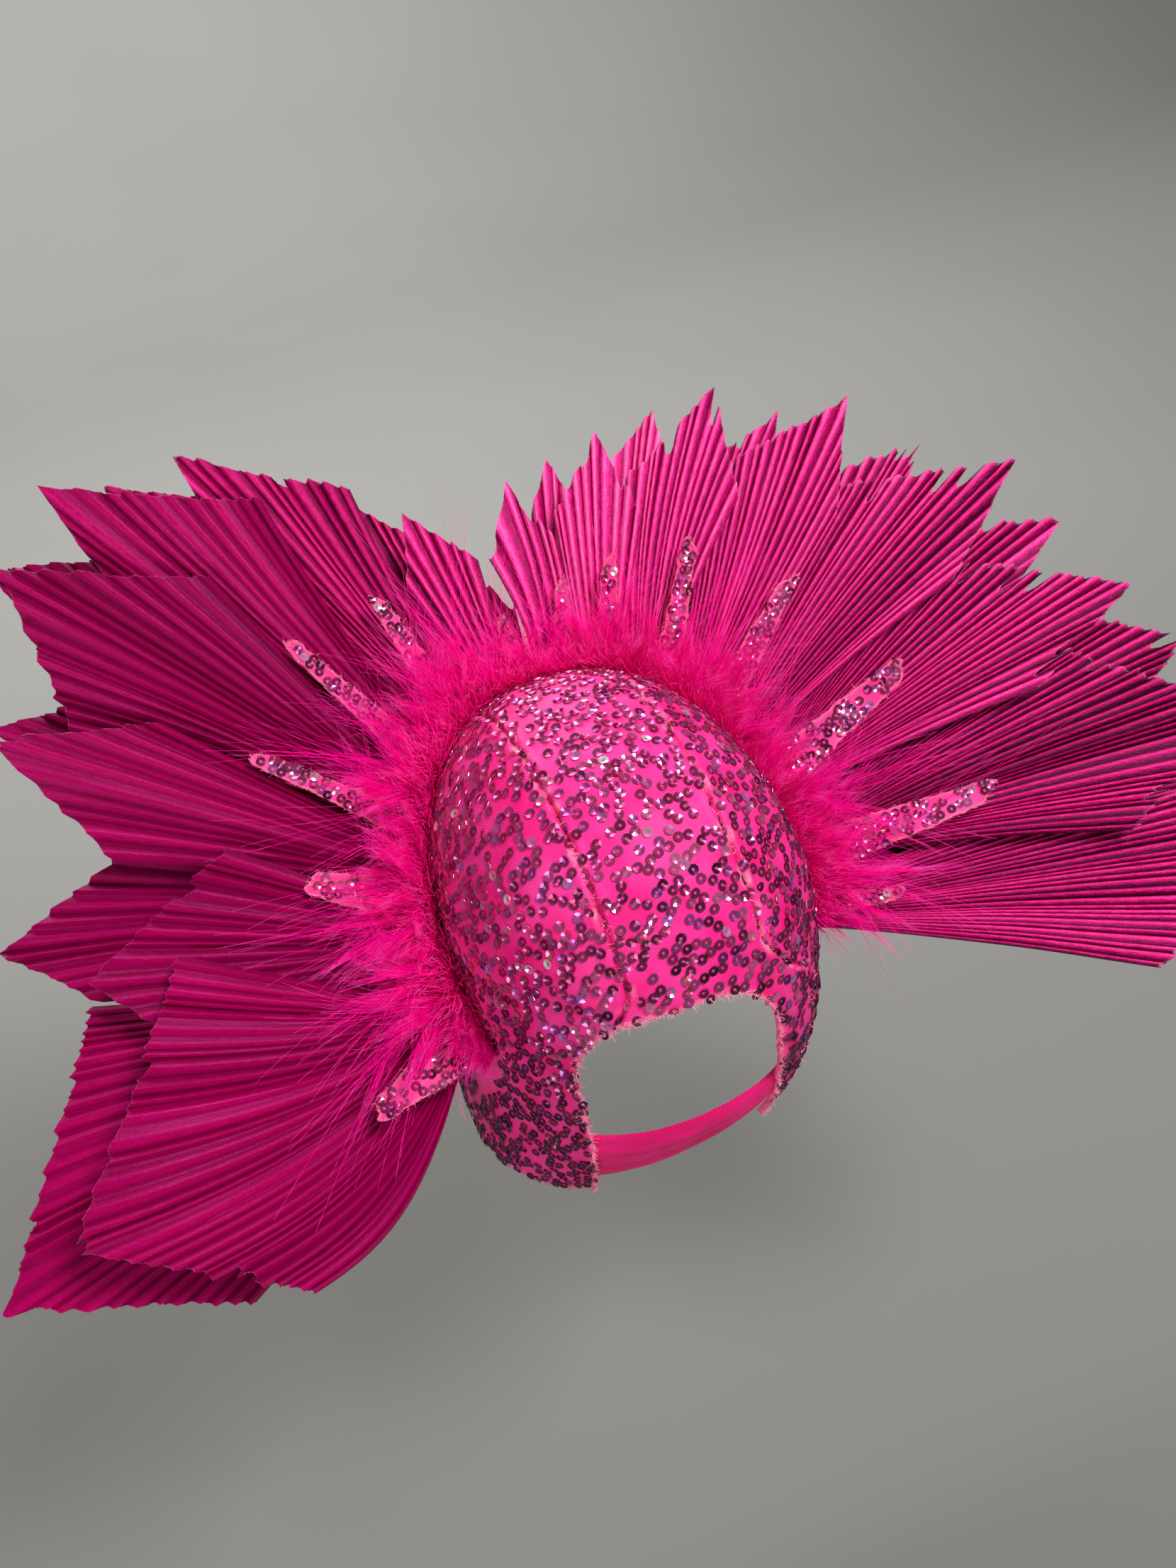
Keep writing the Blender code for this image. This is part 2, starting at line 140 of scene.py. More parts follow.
def smooth(piece: bpy.types.Object, degrees: float = 40.0) -> None:
    """Shade a piece smooth, apart from edges sharper than an angle."""
    activate(piece)
    bpy.ops.object.shade_smooth_by_angle(angle=math.radians(degrees))


def settle(piece: bpy.types.Object, material: bpy.types.Material, slot: Slot,
           *nodes: str) -> bpy.types.Object:
    """Dress a finished piece, let it ride on the body and hide the solids that it stands for.

    Args:
        piece: The finished mesh object.
        material: Its material.
        slot: The record's slot; not used.
        nodes: The solids that it replaces.

    Returns:
        The same piece.
    """
    piece.data.materials.clear()
    piece.data.materials.append(material)
    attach(piece, "root")
    if nodes:
        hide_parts(*nodes)
    LOG.info("%s: %d faces", piece.name, len(piece.data.polygons))
    return piece


def joined(name: str, template: bpy.types.Object, copies: np.ndarray) -> bpy.types.Object:
    """Make one mesh of many copies of a template, and remove the template.

    Args:
        name: The new piece's name.
        template: The mesh whose faces are repeated.
        copies: The places of the points: one row of points for each copy.

    Returns:
        The joined piece.
    """
    count, size = copies.shape[:2]
    faces = [tuple(face.vertices) for face in template.data.polygons]
    mesh = bpy.data.meshes.new(name)
    every = [tuple(point + size * copy for point in face) for copy in range(count) for face in faces]
    mesh.from_pydata(copies.reshape(-1, 3), [], every)
    bpy.data.objects.remove(template, do_unlink=True)
    piece = bpy.data.objects.new(name, mesh)
    bpy.context.scene.collection.objects.link(piece)
    return piece


def unit(rows: np.ndarray) -> np.ndarray:
    """Scale each row to length one."""
    return rows / np.maximum(np.linalg.norm(rows, axis=-1, keepdims=True), 1e-9)


def ripple(places: np.ndarray, size: float, offset: float = 0.0) -> np.ndarray:
    """Smooth random values from -1 to 1 at points, which change over a distance."""
    shift = Vector((offset, 2.0 * offset, 3.0 * offset))
    return np.array([noise.noise(Vector(row) / size + shift) for row in places])


@dataclass(frozen=True)
class HeadForm:
    """Form of the head that the cap fits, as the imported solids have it.

    Below its widest level it narrows: low_drop holds shares of the drop, and the tables after it hold shares
    of the sizes there.
    """

    half_width: float = 78.0 * MM
    ahead: float = 101.0 * MM
    behind: float = 97.0 * MM
    crown: float = 108.0 * MM
    drop: float = 85.0 * MM
    plan_power: float = 2.2
    side_power: float = 2.15
    low_drop: tuple[float, ...] = (0.0, 0.30, 0.60, 0.80, 1.0)
    low_side: tuple[float, ...] = (1.0, 1.015, 1.020, 1.010, 0.985)
    low_behind: tuple[float, ...] = (1.0, 0.980, 0.900, 0.810, 0.700)
    low_ahead: tuple[float, ...] = (1.0, 0.990, 0.970, 0.950, 0.920)
    low_shift: tuple[float, ...] = (0.0, 0.03, 0.07, 0.10, 0.13)
    search: float = 0.4
    halvings: int = 24
    slope_step: float = 0.5 * MM

    def section(self, height: np.ndarray,
                back: np.ndarray) -> tuple[np.ndarray, np.ndarray, np.ndarray]:
        """Size up level sections of the head.

        Args:
            height: Heights of the sections.
            back: True where the half at the nape is asked for, and false for the half at the face.

        Returns:
            Half width, half depth and sideways shift of each section.
        """
        up = np.clip(height / self.crown, 0.0, 1.0)
        share = (1.0 - up ** self.side_power) ** (1.0 / self.side_power)
        down = np.clip(-height / self.drop, 0.0, 1.0)
        side = np.interp(down, self.low_drop, self.low_side) * share
        rear = np.interp(down, self.low_drop, self.low_behind) * self.behind
        front = np.interp(down, self.low_drop, self.low_ahead) * self.ahead
        shift = np.interp(down, self.low_drop, self.low_shift) * self.half_width
        return self.half_width * side, np.where(back, rear, front) * share, shift

    def level(self, places: np.ndarray) -> np.ndarray:
        """Tell how far out points lie.

        Args:
            places: The points.

        Returns:
            A number for each point: 1 on the outer skin, and less within it.
        """
        wide, deep, shift = self.section(places[..., 2], places[..., 1] > 0.0)
        wide, deep = np.maximum(wide, 1e-6), np.maximum(deep, 1e-6)
        across = np.abs((places[..., 0] - shift) / wide) ** self.plan_power
        plan = across + np.abs(places[..., 1] / deep) ** self.plan_power
        return np.where(places[..., 2] < self.crown, plan, 2.0)

    def reach(self, start: np.ndarray, direction: np.ndarray) -> np.ndarray:
        """Measure the way from points inside the head to its skin.

        Args:
            start: The points.
            direction: The way to look from each.

        Returns:
            The distances.
        """
        near = np.zeros(start.shape[:-1])
        far = near + self.search
        for _ in range(self.halvings):
            middle = (near + far) / 2.0
            inside = self.level(start + direction * middle[..., None]) < 1.0
            near, far = np.where(inside, middle, near), np.where(inside, far, middle)
        return near

    def normals(self, places: np.ndarray) -> np.ndarray:
        """Find the way that the skin faces.

        Args:
            places: Points on it.

        Returns:
            The outward direction at each.
        """
        steps = np.eye(3) * self.slope_step
        slope = [self.level(places + step) - self.level(places - step) for step in steps]
        return unit(np.stack(slope, axis=-1))


@dataclass(frozen=True)
class FanLine:
    """Line over the head, from ear to ear, that the leaves, the tabs and the fur follow."""

    head: HeadForm
    lean: float = math.radians(45.0)
    end: float = math.radians(-25.0)
    seat_gap: float = 0.3 * MM

    @property
    def span(self) -> float:
        """Angle from one end of the line to the other, in radians."""
        return math.pi - 2.0 * self.end

    @property
    def back(self) -> np.ndarray:
        """Direction from the fan towards the nape."""
        return np.array([0.0, math.cos(self.lean), math.sin(self.lean)])

    def outward(self, angle: np.ndarray | float) -> np.ndarray:
        """Find the ways that lead straight off the head in the fan's plane.

        Args:
            angle: Angles round the fan, in radians.

        Returns:
            A direction for each angle.
        """
        rise = np.array([0.0, -math.sin(self.lean), math.cos(self.lean)])
        angle = np.asarray(angle, float)[..., None]
        return np.cos(angle) * np.array([1.0, 0.0, 0.0]) + np.sin(angle) * rise

    def angle(self, place: np.ndarray) -> float:
        """Angle round the fan of a point, from the wearer's left, in radians.

        Args:
            place: The point.

        Returns:
            The angle, from a quarter turn below the left end to three quarters above it.
        """
        rise = place[2] * math.cos(self.lean) - place[1] * math.sin(self.lean)
        turn = math.atan2(rise, place[0])
        return turn + 2.0 * math.pi if turn < -math.pi / 2.0 else turn

    def seat(self, angle: np.ndarray | float, set_back: np.ndarray | float) -> np.ndarray:
        """Find points on the skin.

        Args:
            angle: Their angles round the fan, in radians.
            set_back: Their distances from the fan's line towards the nape.

        Returns:
            The points.
        """
        outward = self.outward(angle)
        start = np.asarray(set_back, float)[..., None] * self.back
        start = np.broadcast_to(start, outward.shape)
        return start + outward * self.head.reach(start, outward)[..., None]


@dataclass(frozen=True)
class Stand:
    """Origin and axes of a leaf or tab that stands on the fan."""

    origin: np.ndarray
    along: np.ndarray
    across: np.ndarray
    face: np.ndarray

    @classmethod
    def on(cls, fan: FanLine, degrees: float, set_back: float, lean: float, turn: float = 0.0,
           twist: float = 0.0) -> "Stand":
        """Work out the stand of a piece.

        Args:
            fan: The line that it stands on.
            degrees: Angle round the fan.
            set_back: Distance from the line towards the nape.
            lean: Lean towards the nape, in radians.
            turn: Turn from straight outwards, in degrees.
            twist: Turn about its own length, in radians.

        Returns:
            The stand.
        """
        outward = fan.outward(math.radians(degrees + turn))
        along = outward * math.cos(lean) + fan.back * math.sin(lean)
        face = fan.back * math.cos(lean) - outward * math.sin(lean)
        across = np.cross(face, along)
        turned_across = across * math.cos(twist) - face * math.sin(twist)
        turned_face = face * math.cos(twist) + across * math.sin(twist)
        return cls(fan.seat(math.radians(degrees), set_back), along, turned_across, turned_face)

    def at(self, across: np.ndarray, along: np.ndarray, out: np.ndarray) -> np.ndarray:
        """Points at distances across, along and out of the piece's rear face."""
        flat = across[..., None] * self.across + along[..., None] * self.along
        return self.origin + (flat + out[..., None] * self.face)


def linear(colour: str) -> tuple[float, float, float, float]:
    """Turn an sRGB colour to linear light.

    Args:
        colour: The colour, as # and six hex digits.

    Returns:
        Red, green, blue and an alpha of 1.
    """
    shares = [int(colour[place:place + 2], 16) / 255.0 for place in (1, 3, 5)]
    light = [share / 12.92 if share <= 0.04045 else ((share + 0.055) / 1.055) ** 2.4 for share in shares]
    return (*light, 1.0)


def add_node(tree: bpy.types.NodeTree, kind: str, settings: dict | None = None, inputs: dict | None = None,
             stops: tuple[tuple[float, str], ...] = ()) -> bpy.types.Node:
    """Add a node with its settings, values and links.

    Args:
        tree: The node tree.
        kind: The node's type.
        settings: Values of its properties.
        inputs: Values of its input sockets, or the output sockets that feed them.
        stops: Places and hex colours of a colour ramp.

    Returns:
        The node.
    """
    node = tree.nodes.new(kind)
    for key, value in (settings or {}).items():
        setattr(node, key, value)
    for key, value in (inputs or {}).items():
        if isinstance(value, bpy.types.NodeSocket):
            tree.links.new(value, node.inputs[key])
        else:
            node.inputs[key].default_value = value
    for number, (place, colour) in enumerate(stops):
        ramp = node.color_ramp.elements
        stop = ramp[number] if number < 2 else ramp.new(place)
        stop.position = place
        stop.color = linear(colour)
    return node


@dataclass(frozen=True)
class Finish:
    """What every finish has: its name, and the shader that its nodes feed."""

    name: str

    def start(self) -> tuple[bpy.types.Material, bpy.types.NodeTree, bpy.types.Node]:
        """Make a material with one Principled shader.

        Returns:
            The material, its node tree and the shader.
        """
        material = bpy.data.materials.new(self.name)
        material.use_nodes = True
        return material, material.node_tree, material.node_tree.nodes["Principled BSDF"]


@dataclass(frozen=True)
class SatinTwill(Finish):
    """Polyester satin twill, piece dyed."""

    light: str = "#FF3FA0"
    deep: str = "#F5127C"
    shadow: str = "#B00030"
    frayed: str = "#FF9DB9"
    thread: float = 0.9 * MM

    def build(self) -> bpy.types.Material:
        """Make the material. The threads are about three times as coarse as real ones, so that they show.

        Returns:
            The material.
        """
        # Gives the eye fine diagonal threads under a soft sheen, painted shade in the seams and pale, frayed
        # edges.
        material, tree, shader = self.start()
        place = add_node(tree, "ShaderNodeTexCoord")
        slant = add_node(tree, "ShaderNodeMapping", inputs={
            "Vector": place.outputs["UV"], "Rotation": (0.0, 0.0, math.radians(62.0))})
        threads = add_node(tree, "ShaderNodeTexWave", {"wave_type": "BANDS"}, {
            "Vector": slant.outputs[0], "Scale": 1.0 / self.thread / 3.2, "Distortion": 1.2,
            "Detail": 2.0, "Detail Scale": 3.0})
        cloud = add_node(tree, "ShaderNodeTexNoise", inputs={
            "Vector": place.outputs["Object"], "Scale": 1.0 / (22.0 * MM), "Detail": 3.0})
        base = add_node(tree, "ShaderNodeValToRGB", inputs={"Fac": cloud.outputs["Fac"]},
                        stops=((0.30, self.deep), (0.72, self.light)))
        shade = add_node(tree, "ShaderNodeMix", {"data_type": "RGBA", "blend_type": "MULTIPLY"}, {
            0: 0.22, 6: base.outputs["Color"], 7: threads.outputs["Color"]})
        # Painted shade darkens the cloth in each seam's groove.
        seam = add_node(tree, "ShaderNodeAttribute", {"attribute_name": "seam"})
        seam_shade = add_node(tree, "ShaderNodeMix", {"data_type": "RGBA"}, {
            0: seam.outputs["Fac"], 6: shade.outputs[2], 7: linear(self.shadow)})
        edge = add_node(tree, "ShaderNodeAttribute", {"attribute_name": "edge"})
        pale = add_node(tree, "ShaderNodeMix", {"data_type": "RGBA"}, {
            0: edge.outputs["Fac"], 6: seam_shade.outputs[2], 7: linear(self.frayed)})
        tree.links.new(pale.outputs[2], shader.inputs["Base Color"])
        bump = add_node(tree, "ShaderNodeBump", inputs={
            "Height": threads.outputs["Fac"], "Strength": 0.25, "Distance": 0.12 * MM})
        tree.links.new(bump.outputs[0], shader.inputs["Normal"])
        shader.inputs["Roughness"].default_value = 0.50
        shader.inputs["Specular Tint"].default_value = linear("#FF9CD0")
        shader.inputs["Sheen Weight"].default_value = 0.12
        shader.inputs["Sheen Tint"].default_value = linear("#FF6CB4")
        return material


@dataclass(frozen=True)
class SequinFilm(Finish):
    """Vacuum-coated polyester film, stamped into rings."""

    tones: tuple[tuple[float, str], ...] = (
        (0.00, "#2A0E1C"), (0.97, "#FFFFFF"), (0.30, "#5C2A48"), (0.60, "#A8648C"), (0.88, "#E4B4D0"))
    tints: tuple[tuple[float, str], ...] = (
        (0.00, "#FF9A3C"), (1.00, "#3C5CFF"), (0.14, "#D89AB8"), (0.72, "#C88AB8"), (0.86, "#8C6CF0"))
    cloth: str = "#F0509C"

    def build(self) -> bpy.types.Material:
        """Make the material, with a tone and a tint of its own for each sequin.

        Returns:
            The material.
        """
        # Gives the eye small glossy dishes, plum to silver, with a play of blue, violet and gold from the
        # thin film and from painted glints.
        material, tree, shader = self.start()
        tone = add_node(tree, "ShaderNodeAttribute", {"attribute_name": "tone"})
        tint = add_node(tree, "ShaderNodeAttribute", {"attribute_name": "tint"})
        colour = add_node(tree, "ShaderNodeValToRGB", inputs={"Fac": tone.outputs["Fac"]}, stops=self.tones)
        gleam = add_node(tree, "ShaderNodeValToRGB", inputs={"Fac": tint.outputs["Fac"]}, stops=self.tints)
        # The tint laid over the base colour is painted iridescent glint, on top of the real thin film.
        tinted = add_node(tree, "ShaderNodeMix", {"data_type": "RGBA", "blend_type": "OVERLAY"}, {
            0: 0.50, 6: colour.outputs["Color"], 7: gleam.outputs["Color"]})
        veil = add_node(tree, "ShaderNodeAttribute", {"attribute_name": "veil"})
        veiled = add_node(tree, "ShaderNodeMix", {"data_type": "RGBA"}, {
            0: veil.outputs["Fac"], 6: tinted.outputs[2], 7: linear(self.cloth)})
        tree.links.new(veiled.outputs[2], shader.inputs["Base Color"])
        tree.links.new(gleam.outputs["Color"], shader.inputs["Specular Tint"])
        film = add_node(tree, "ShaderNodeMapRange", inputs={
            "Value": tint.outputs["Fac"], "To Min": 250.0, "To Max": 560.0})
        tree.links.new(film.outputs["Result"], shader.inputs["Thin Film Thickness"])
        shader.inputs["Thin Film IOR"].default_value = 1.9
        shader.inputs["Metallic"].default_value = 0.75
        shader.inputs["Roughness"].default_value = 0.18
        shader.inputs["Coat Weight"].default_value = 0.5
        shader.inputs["Coat Roughness"].default_value = 0.05
        return material


@dataclass(frozen=True)
class PalmLeaf(Finish):
    """Dried palm leaf, dyed and pleated as it grew."""

    # The ramp from valley to pale is painted light and shade: painted shade in the pleats' hollows, painted
    # highlights on their crests, brightest on leaves painted lighter.
    valley_shade: str = "#300016"
    side: str = "#A60053"
    ridge: str = "#EE2C8E"
    pale: str = "#F67CBC"
    cut_end: str = "#FFA6D6"
    fibre: float = 0.6 * MM
    fibre_length: float = 6.0 * MM

    def build(self) -> bpy.types.Material:
        """Make the material. The fibres are about twice as coarse as real ones, so that they show.

        Returns:
            The material.
        """
        # Gives the eye painted highlights on satin ridges over painted shade in deep valleys, fibres along
        # the folds and a worn, paler cut end.
        material, tree, shader = self.start()
        place = add_node(tree, "ShaderNodeTexCoord")
        stretch = add_node(tree, "ShaderNodeMapping", {"vector_type": "POINT"}, {
            "Vector": place.outputs["UV"], "Scale": (1.0 / self.fibre, 1.0 / self.fibre_length, 1.0)})
        fibres = add_node(tree, "ShaderNodeTexNoise", inputs={
            "Vector": stretch.outputs[0], "Scale": 1.0, "Detail": 4.0, "Roughness": 0.7})
        grain = add_node(tree, "ShaderNodeTexNoise", inputs={
            "Vector": place.outputs["Object"], "Scale": 1.0 / (0.9 * MM), "Detail": 2.0})
        # The fold and tone attributes carry painted light and shade.
        fold = add_node(tree, "ShaderNodeAttribute", {"attribute_name": "fold"})
        tone = add_node(tree, "ShaderNodeAttribute", {"attribute_name": "tone"})
        soft = add_node(tree, "ShaderNodeAttribute", {"attribute_name": "soft"})
        plain = add_node(tree, "ShaderNodeMath", {"operation": "ADD"}, {
            0: fold.outputs["Fac"], 1: tone.outputs["Fac"]})
        mixed = add_node(tree, "ShaderNodeMath", {"operation": "MULTIPLY_ADD"}, {
            0: fibres.outputs["Fac"], 1: 2.0, 2: grain.outputs["Fac"]})
        centred = add_node(tree, "ShaderNodeMath", {"operation": "SUBTRACT"}, {0: mixed.outputs[0], 1: 1.5})
        strength = add_node(tree, "ShaderNodeMapRange", inputs={
            "Value": soft.outputs["Fac"], "To Min": 0.32, "To Max": 0.10})
        toned = add_node(tree, "ShaderNodeMath", {"operation": "MULTIPLY_ADD"}, {
            0: centred.outputs[0], 1: strength.outputs["Result"], 2: plain.outputs[0]})
        colour = add_node(tree, "ShaderNodeValToRGB", inputs={"Fac": toned.outputs[0]}, stops=(
            (0.01, self.valley_shade), (0.95, self.pale), (0.31, self.side), (0.56, self.ridge)))
        reach = add_node(tree, "ShaderNodeAttribute", {"attribute_name": "reach"})
        end = add_node(tree, "ShaderNodeMapRange", inputs={
            "Value": reach.outputs["Fac"], "From Min": 0.990, "From Max": 1.0, "To Max": 1.0})
        specks = add_node(tree, "ShaderNodeMapRange", inputs={
            "Value": grain.outputs["Fac"], "From Min": 0.40, "From Max": 0.62})
        worn = add_node(tree, "ShaderNodeMath", {"operation": "MULTIPLY"}, {
            0: end.outputs["Result"], 1: specks.outputs["Result"]})
        age = add_node(tree, "ShaderNodeMapRange", inputs={
            "Value": soft.outputs["Fac"], "To Min": 0.30, "To Max": 1.0})
        frayed = add_node(tree, "ShaderNodeMath", {"operation": "MULTIPLY"}, {
            0: worn.outputs[0], 1: age.outputs["Result"]})
        tipped = add_node(tree, "ShaderNodeMix", {"data_type": "RGBA"}, {
            0: frayed.outputs[0], 6: colour.outputs["Color"], 7: linear(self.cut_end)})
        tree.links.new(tipped.outputs[2], shader.inputs["Base Color"])
        height = add_node(tree, "ShaderNodeMath", {"operation": "MULTIPLY_ADD"}, {
            0: grain.outputs["Fac"], 1: 0.6, 2: fibres.outputs["Fac"]})
        relief = add_node(tree, "ShaderNodeMapRange", inputs={
            "Value": soft.outputs["Fac"], "To Min": 1.0, "To Max": 0.35})
        bump = add_node(tree, "ShaderNodeBump", inputs={
            "Height": height.outputs[0], "Strength": relief.outputs["Result"], "Distance": 0.45 * MM})
        tree.links.new(bump.outputs[0], shader.inputs["Normal"])
        rough = add_node(tree, "ShaderNodeMapRange", inputs={
            "Value": grain.outputs["Fac"], "To Min": 0.24, "To Max": 0.50})
        tree.links.new(rough.outputs["Result"], shader.inputs["Roughness"])
        gloss = add_node(tree, "ShaderNodeMapRange", inputs={
            "Value": soft.outputs["Fac"], "To Min": 0.75, "To Max": 0.35})
        tree.links.new(gloss.outputs["Result"], shader.inputs["Specular IOR Level"])
        shader.inputs["Specular Tint"].default_value = linear("#FF62BC")
        return material


@dataclass(frozen=True)
class FurPile(Finish):
    """Long soft pile, dyed."""

    # The deep root colour is painted shade among the hairs.
    stops: tuple[tuple[float, str], ...] = (
        (0.0, "#CC0070"), (1.0, "#FF48AE"), (0.40, "#E60080"), (0.80, "#FA0890"))

    def build(self) -> bpy.types.Material:
        """Make the material, coloured along each hair and uneven from lock to lock.

        Returns:
            The material.
        """
        # Gives the eye hair that is deep at the root, as painted shade among the roots, bright along its
        # length and paler at the tip.
        material, tree, shader = self.start()
        place = add_node(tree, "ShaderNodeTexCoord")
        locks = add_node(tree, "ShaderNodeTexNoise", inputs={
            "Vector": place.outputs["Object"], "Scale": 1.0 / (7.0 * MM), "Detail": 3.0})
        along = add_node(tree, "ShaderNodeAttribute", {"attribute_name": "along"})
        mixed = add_node(tree, "ShaderNodeMath", {"operation": "MULTIPLY_ADD"}, {
            0: locks.outputs["Fac"], 1: 0.8, 2: along.outputs["Fac"]})
        moved = add_node(tree, "ShaderNodeMath", {"operation": "SUBTRACT"}, {0: mixed.outputs[0], 1: 0.4})
        colour = add_node(tree, "ShaderNodeValToRGB", inputs={"Fac": moved.outputs[0]}, stops=self.stops)
        tree.links.new(colour.outputs["Color"], shader.inputs["Base Color"])
        shader.inputs["Roughness"].default_value = 0.55
        shader.inputs["Specular IOR Level"].default_value = 0.10
        shader.inputs["Specular Tint"].default_value = linear("#FF2C98")
        return material


@dataclass(frozen=True)
class Paper(Finish):
    """Matt seamless background paper."""

    colour: str = "#7A7976"
    mottled: str = "#747370"

    def build(self) -> bpy.types.Material:
        """Make the material, with a faint mottle.

        Returns:
            The material.
        """
        # Gives the eye a quiet grey, so that the pink stands alone.
        material, tree, shader = self.start()
        place = add_node(tree, "ShaderNodeTexCoord")
        mottle = add_node(tree, "ShaderNodeTexNoise", inputs={
            "Vector": place.outputs["Object"], "Scale": 1.5})
        colour = add_node(tree, "ShaderNodeMix", {"data_type": "RGBA"}, {
            0: mottle.outputs["Fac"], 6: linear(self.colour), 7: linear(self.mottled)})
        tree.links.new(colour.outputs[2], shader.inputs["Base Color"])
        shader.inputs["Roughness"].default_value = 0.9
        return material


@dataclass
class Ribbons:
    """Thin tapering strips that stand for hairs and loose threads."""

    joints: int
    width: float
    tip_width: float

    def build(self, name: str, lines: np.ndarray, facing: np.ndarray,
              rng: np.random.Generator) -> bpy.types.Object:
        """Lay one strip along each line.

        Args:
            name: The piece's name.
            lines: The lines: strands by joints by x, y and z.
            facing: The way that the strips face, more or less.
            rng: Source of the strips' turns.

        Returns:
            The joined piece, with the attribute along.
        """
        deselect_all()
        bpy.ops.mesh.primitive_grid_add(x_subdivisions=1, y_subdivisions=self.joints - 1, size=1.0)
        template = bpy.context.object
        flat = points_of(template)
        joint = np.rint((flat[:, 1] + 0.5) * (self.joints - 1)).astype(int)
        side = np.sign(flat[:, 0])
        run = unit(lines[:, -1] - lines[:, 0])
        turn = unit(np.cross(facing + 0.45 * rng.normal(size=run.shape), run))
        share = joint / (self.joints - 1)
        half = (self.width + (self.tip_width - self.width) * share ** 1.4) / 2.0
        copies = lines[:, joint] + turn[:, None, :] * (side * half)[None, :, None]
        piece = joined(name, template, copies)
        set_attribute(piece, "along", np.tile(share, len(lines)))
        return piece


class Surface:
    """Good side of a piece of cloth, to set things on.

    A Boolean modifier's faces come in another order each run. They are sorted here, so that chance falls
    the same.
    """

    def __init__(self, piece: bpy.types.Object, lift: np.ndarray | None = None) -> None:
        """Read the mesh of an open sheet.

        Args:
            piece: The sheet.
            lift: Way from the middle of a flat sheet to its rear face, or nothing for the cap.
        """
        mesh = piece.data
        self.lift = None if lift is None else Vector(lift)
        shift = self.lift or Vector((0.0, 0.0, 0.0))
        order = sorted(range(len(mesh.vertices)), key=lambda index: self.rounded(mesh.vertices[index].co))
        rank = {index: place for place, index in enumerate(order)}
        self.points = [mesh.vertices[index].co + shift for index in order]
        self.faces = sorted(self.turned([rank[index] for index in face.vertices]) for face in mesh.polygons)
        corners = [[self.points[index] for index in face] for face in self.faces]
        self.centres = [sum(places, Vector()) / len(places) for places in corners]
        self.areas = [self.area(places) for places in corners]
        self.tree = BVHTree.FromPolygons(self.points, self.faces)
        self.rims = self.find_rims(shift)

    @staticmethod
    def rounded(place: Vector) -> tuple[float, ...]:
        """A point to the nearest micrometre, to sort by."""
        return tuple(round(value, 6) for value in place)

    @staticmethod
    def turned(face: list[int]) -> tuple[int, ...]:
        """A face's corners in their order, from the lowest on."""
        first = face.index(min(face))
        return tuple(face[first:] + face[:first])

    @staticmethod
    def area(corners: list[Vector]) -> float:
        """Area of a face."""
        spans = [corner - corners[0] for corner in corners[1:]]
        return sum((first.cross(second) for first, second in zip(spans, spans[1:])), Vector()).length / 2.0

    def find_rims(self, shift: Vector) -> list[tuple[Vector, Vector]]:
        """Find the edges that have one face.

        Args:
            shift: The lift, which is taken off again.

        Returns:
            The middle of each edge and its run.
        """
        uses: dict[tuple[int, int], int] = {}
        for face in self.faces:
            for pair in zip(face, face[1:] + face[:1]):
                key = (min(pair), max(pair))
                uses[key] = uses.get(key, 0) + 1
        rims = []
        for (first, second), count in uses.items():
            if count == 1:
                start, end = self.points[first] - shift, self.points[second] - shift
                rims.append(((start + end) / 2.0, end - start))
        return rims

    def nearest(self, place: Vector) -> tuple[Vector, Vector]:
        """Nearest point of the cloth, and the direction in which its good side faces there."""
        hit, normal, _, _ = self.tree.find_nearest(place)
        return hit, normal if normal.dot(self.lift or hit) > 0.0 else -normal


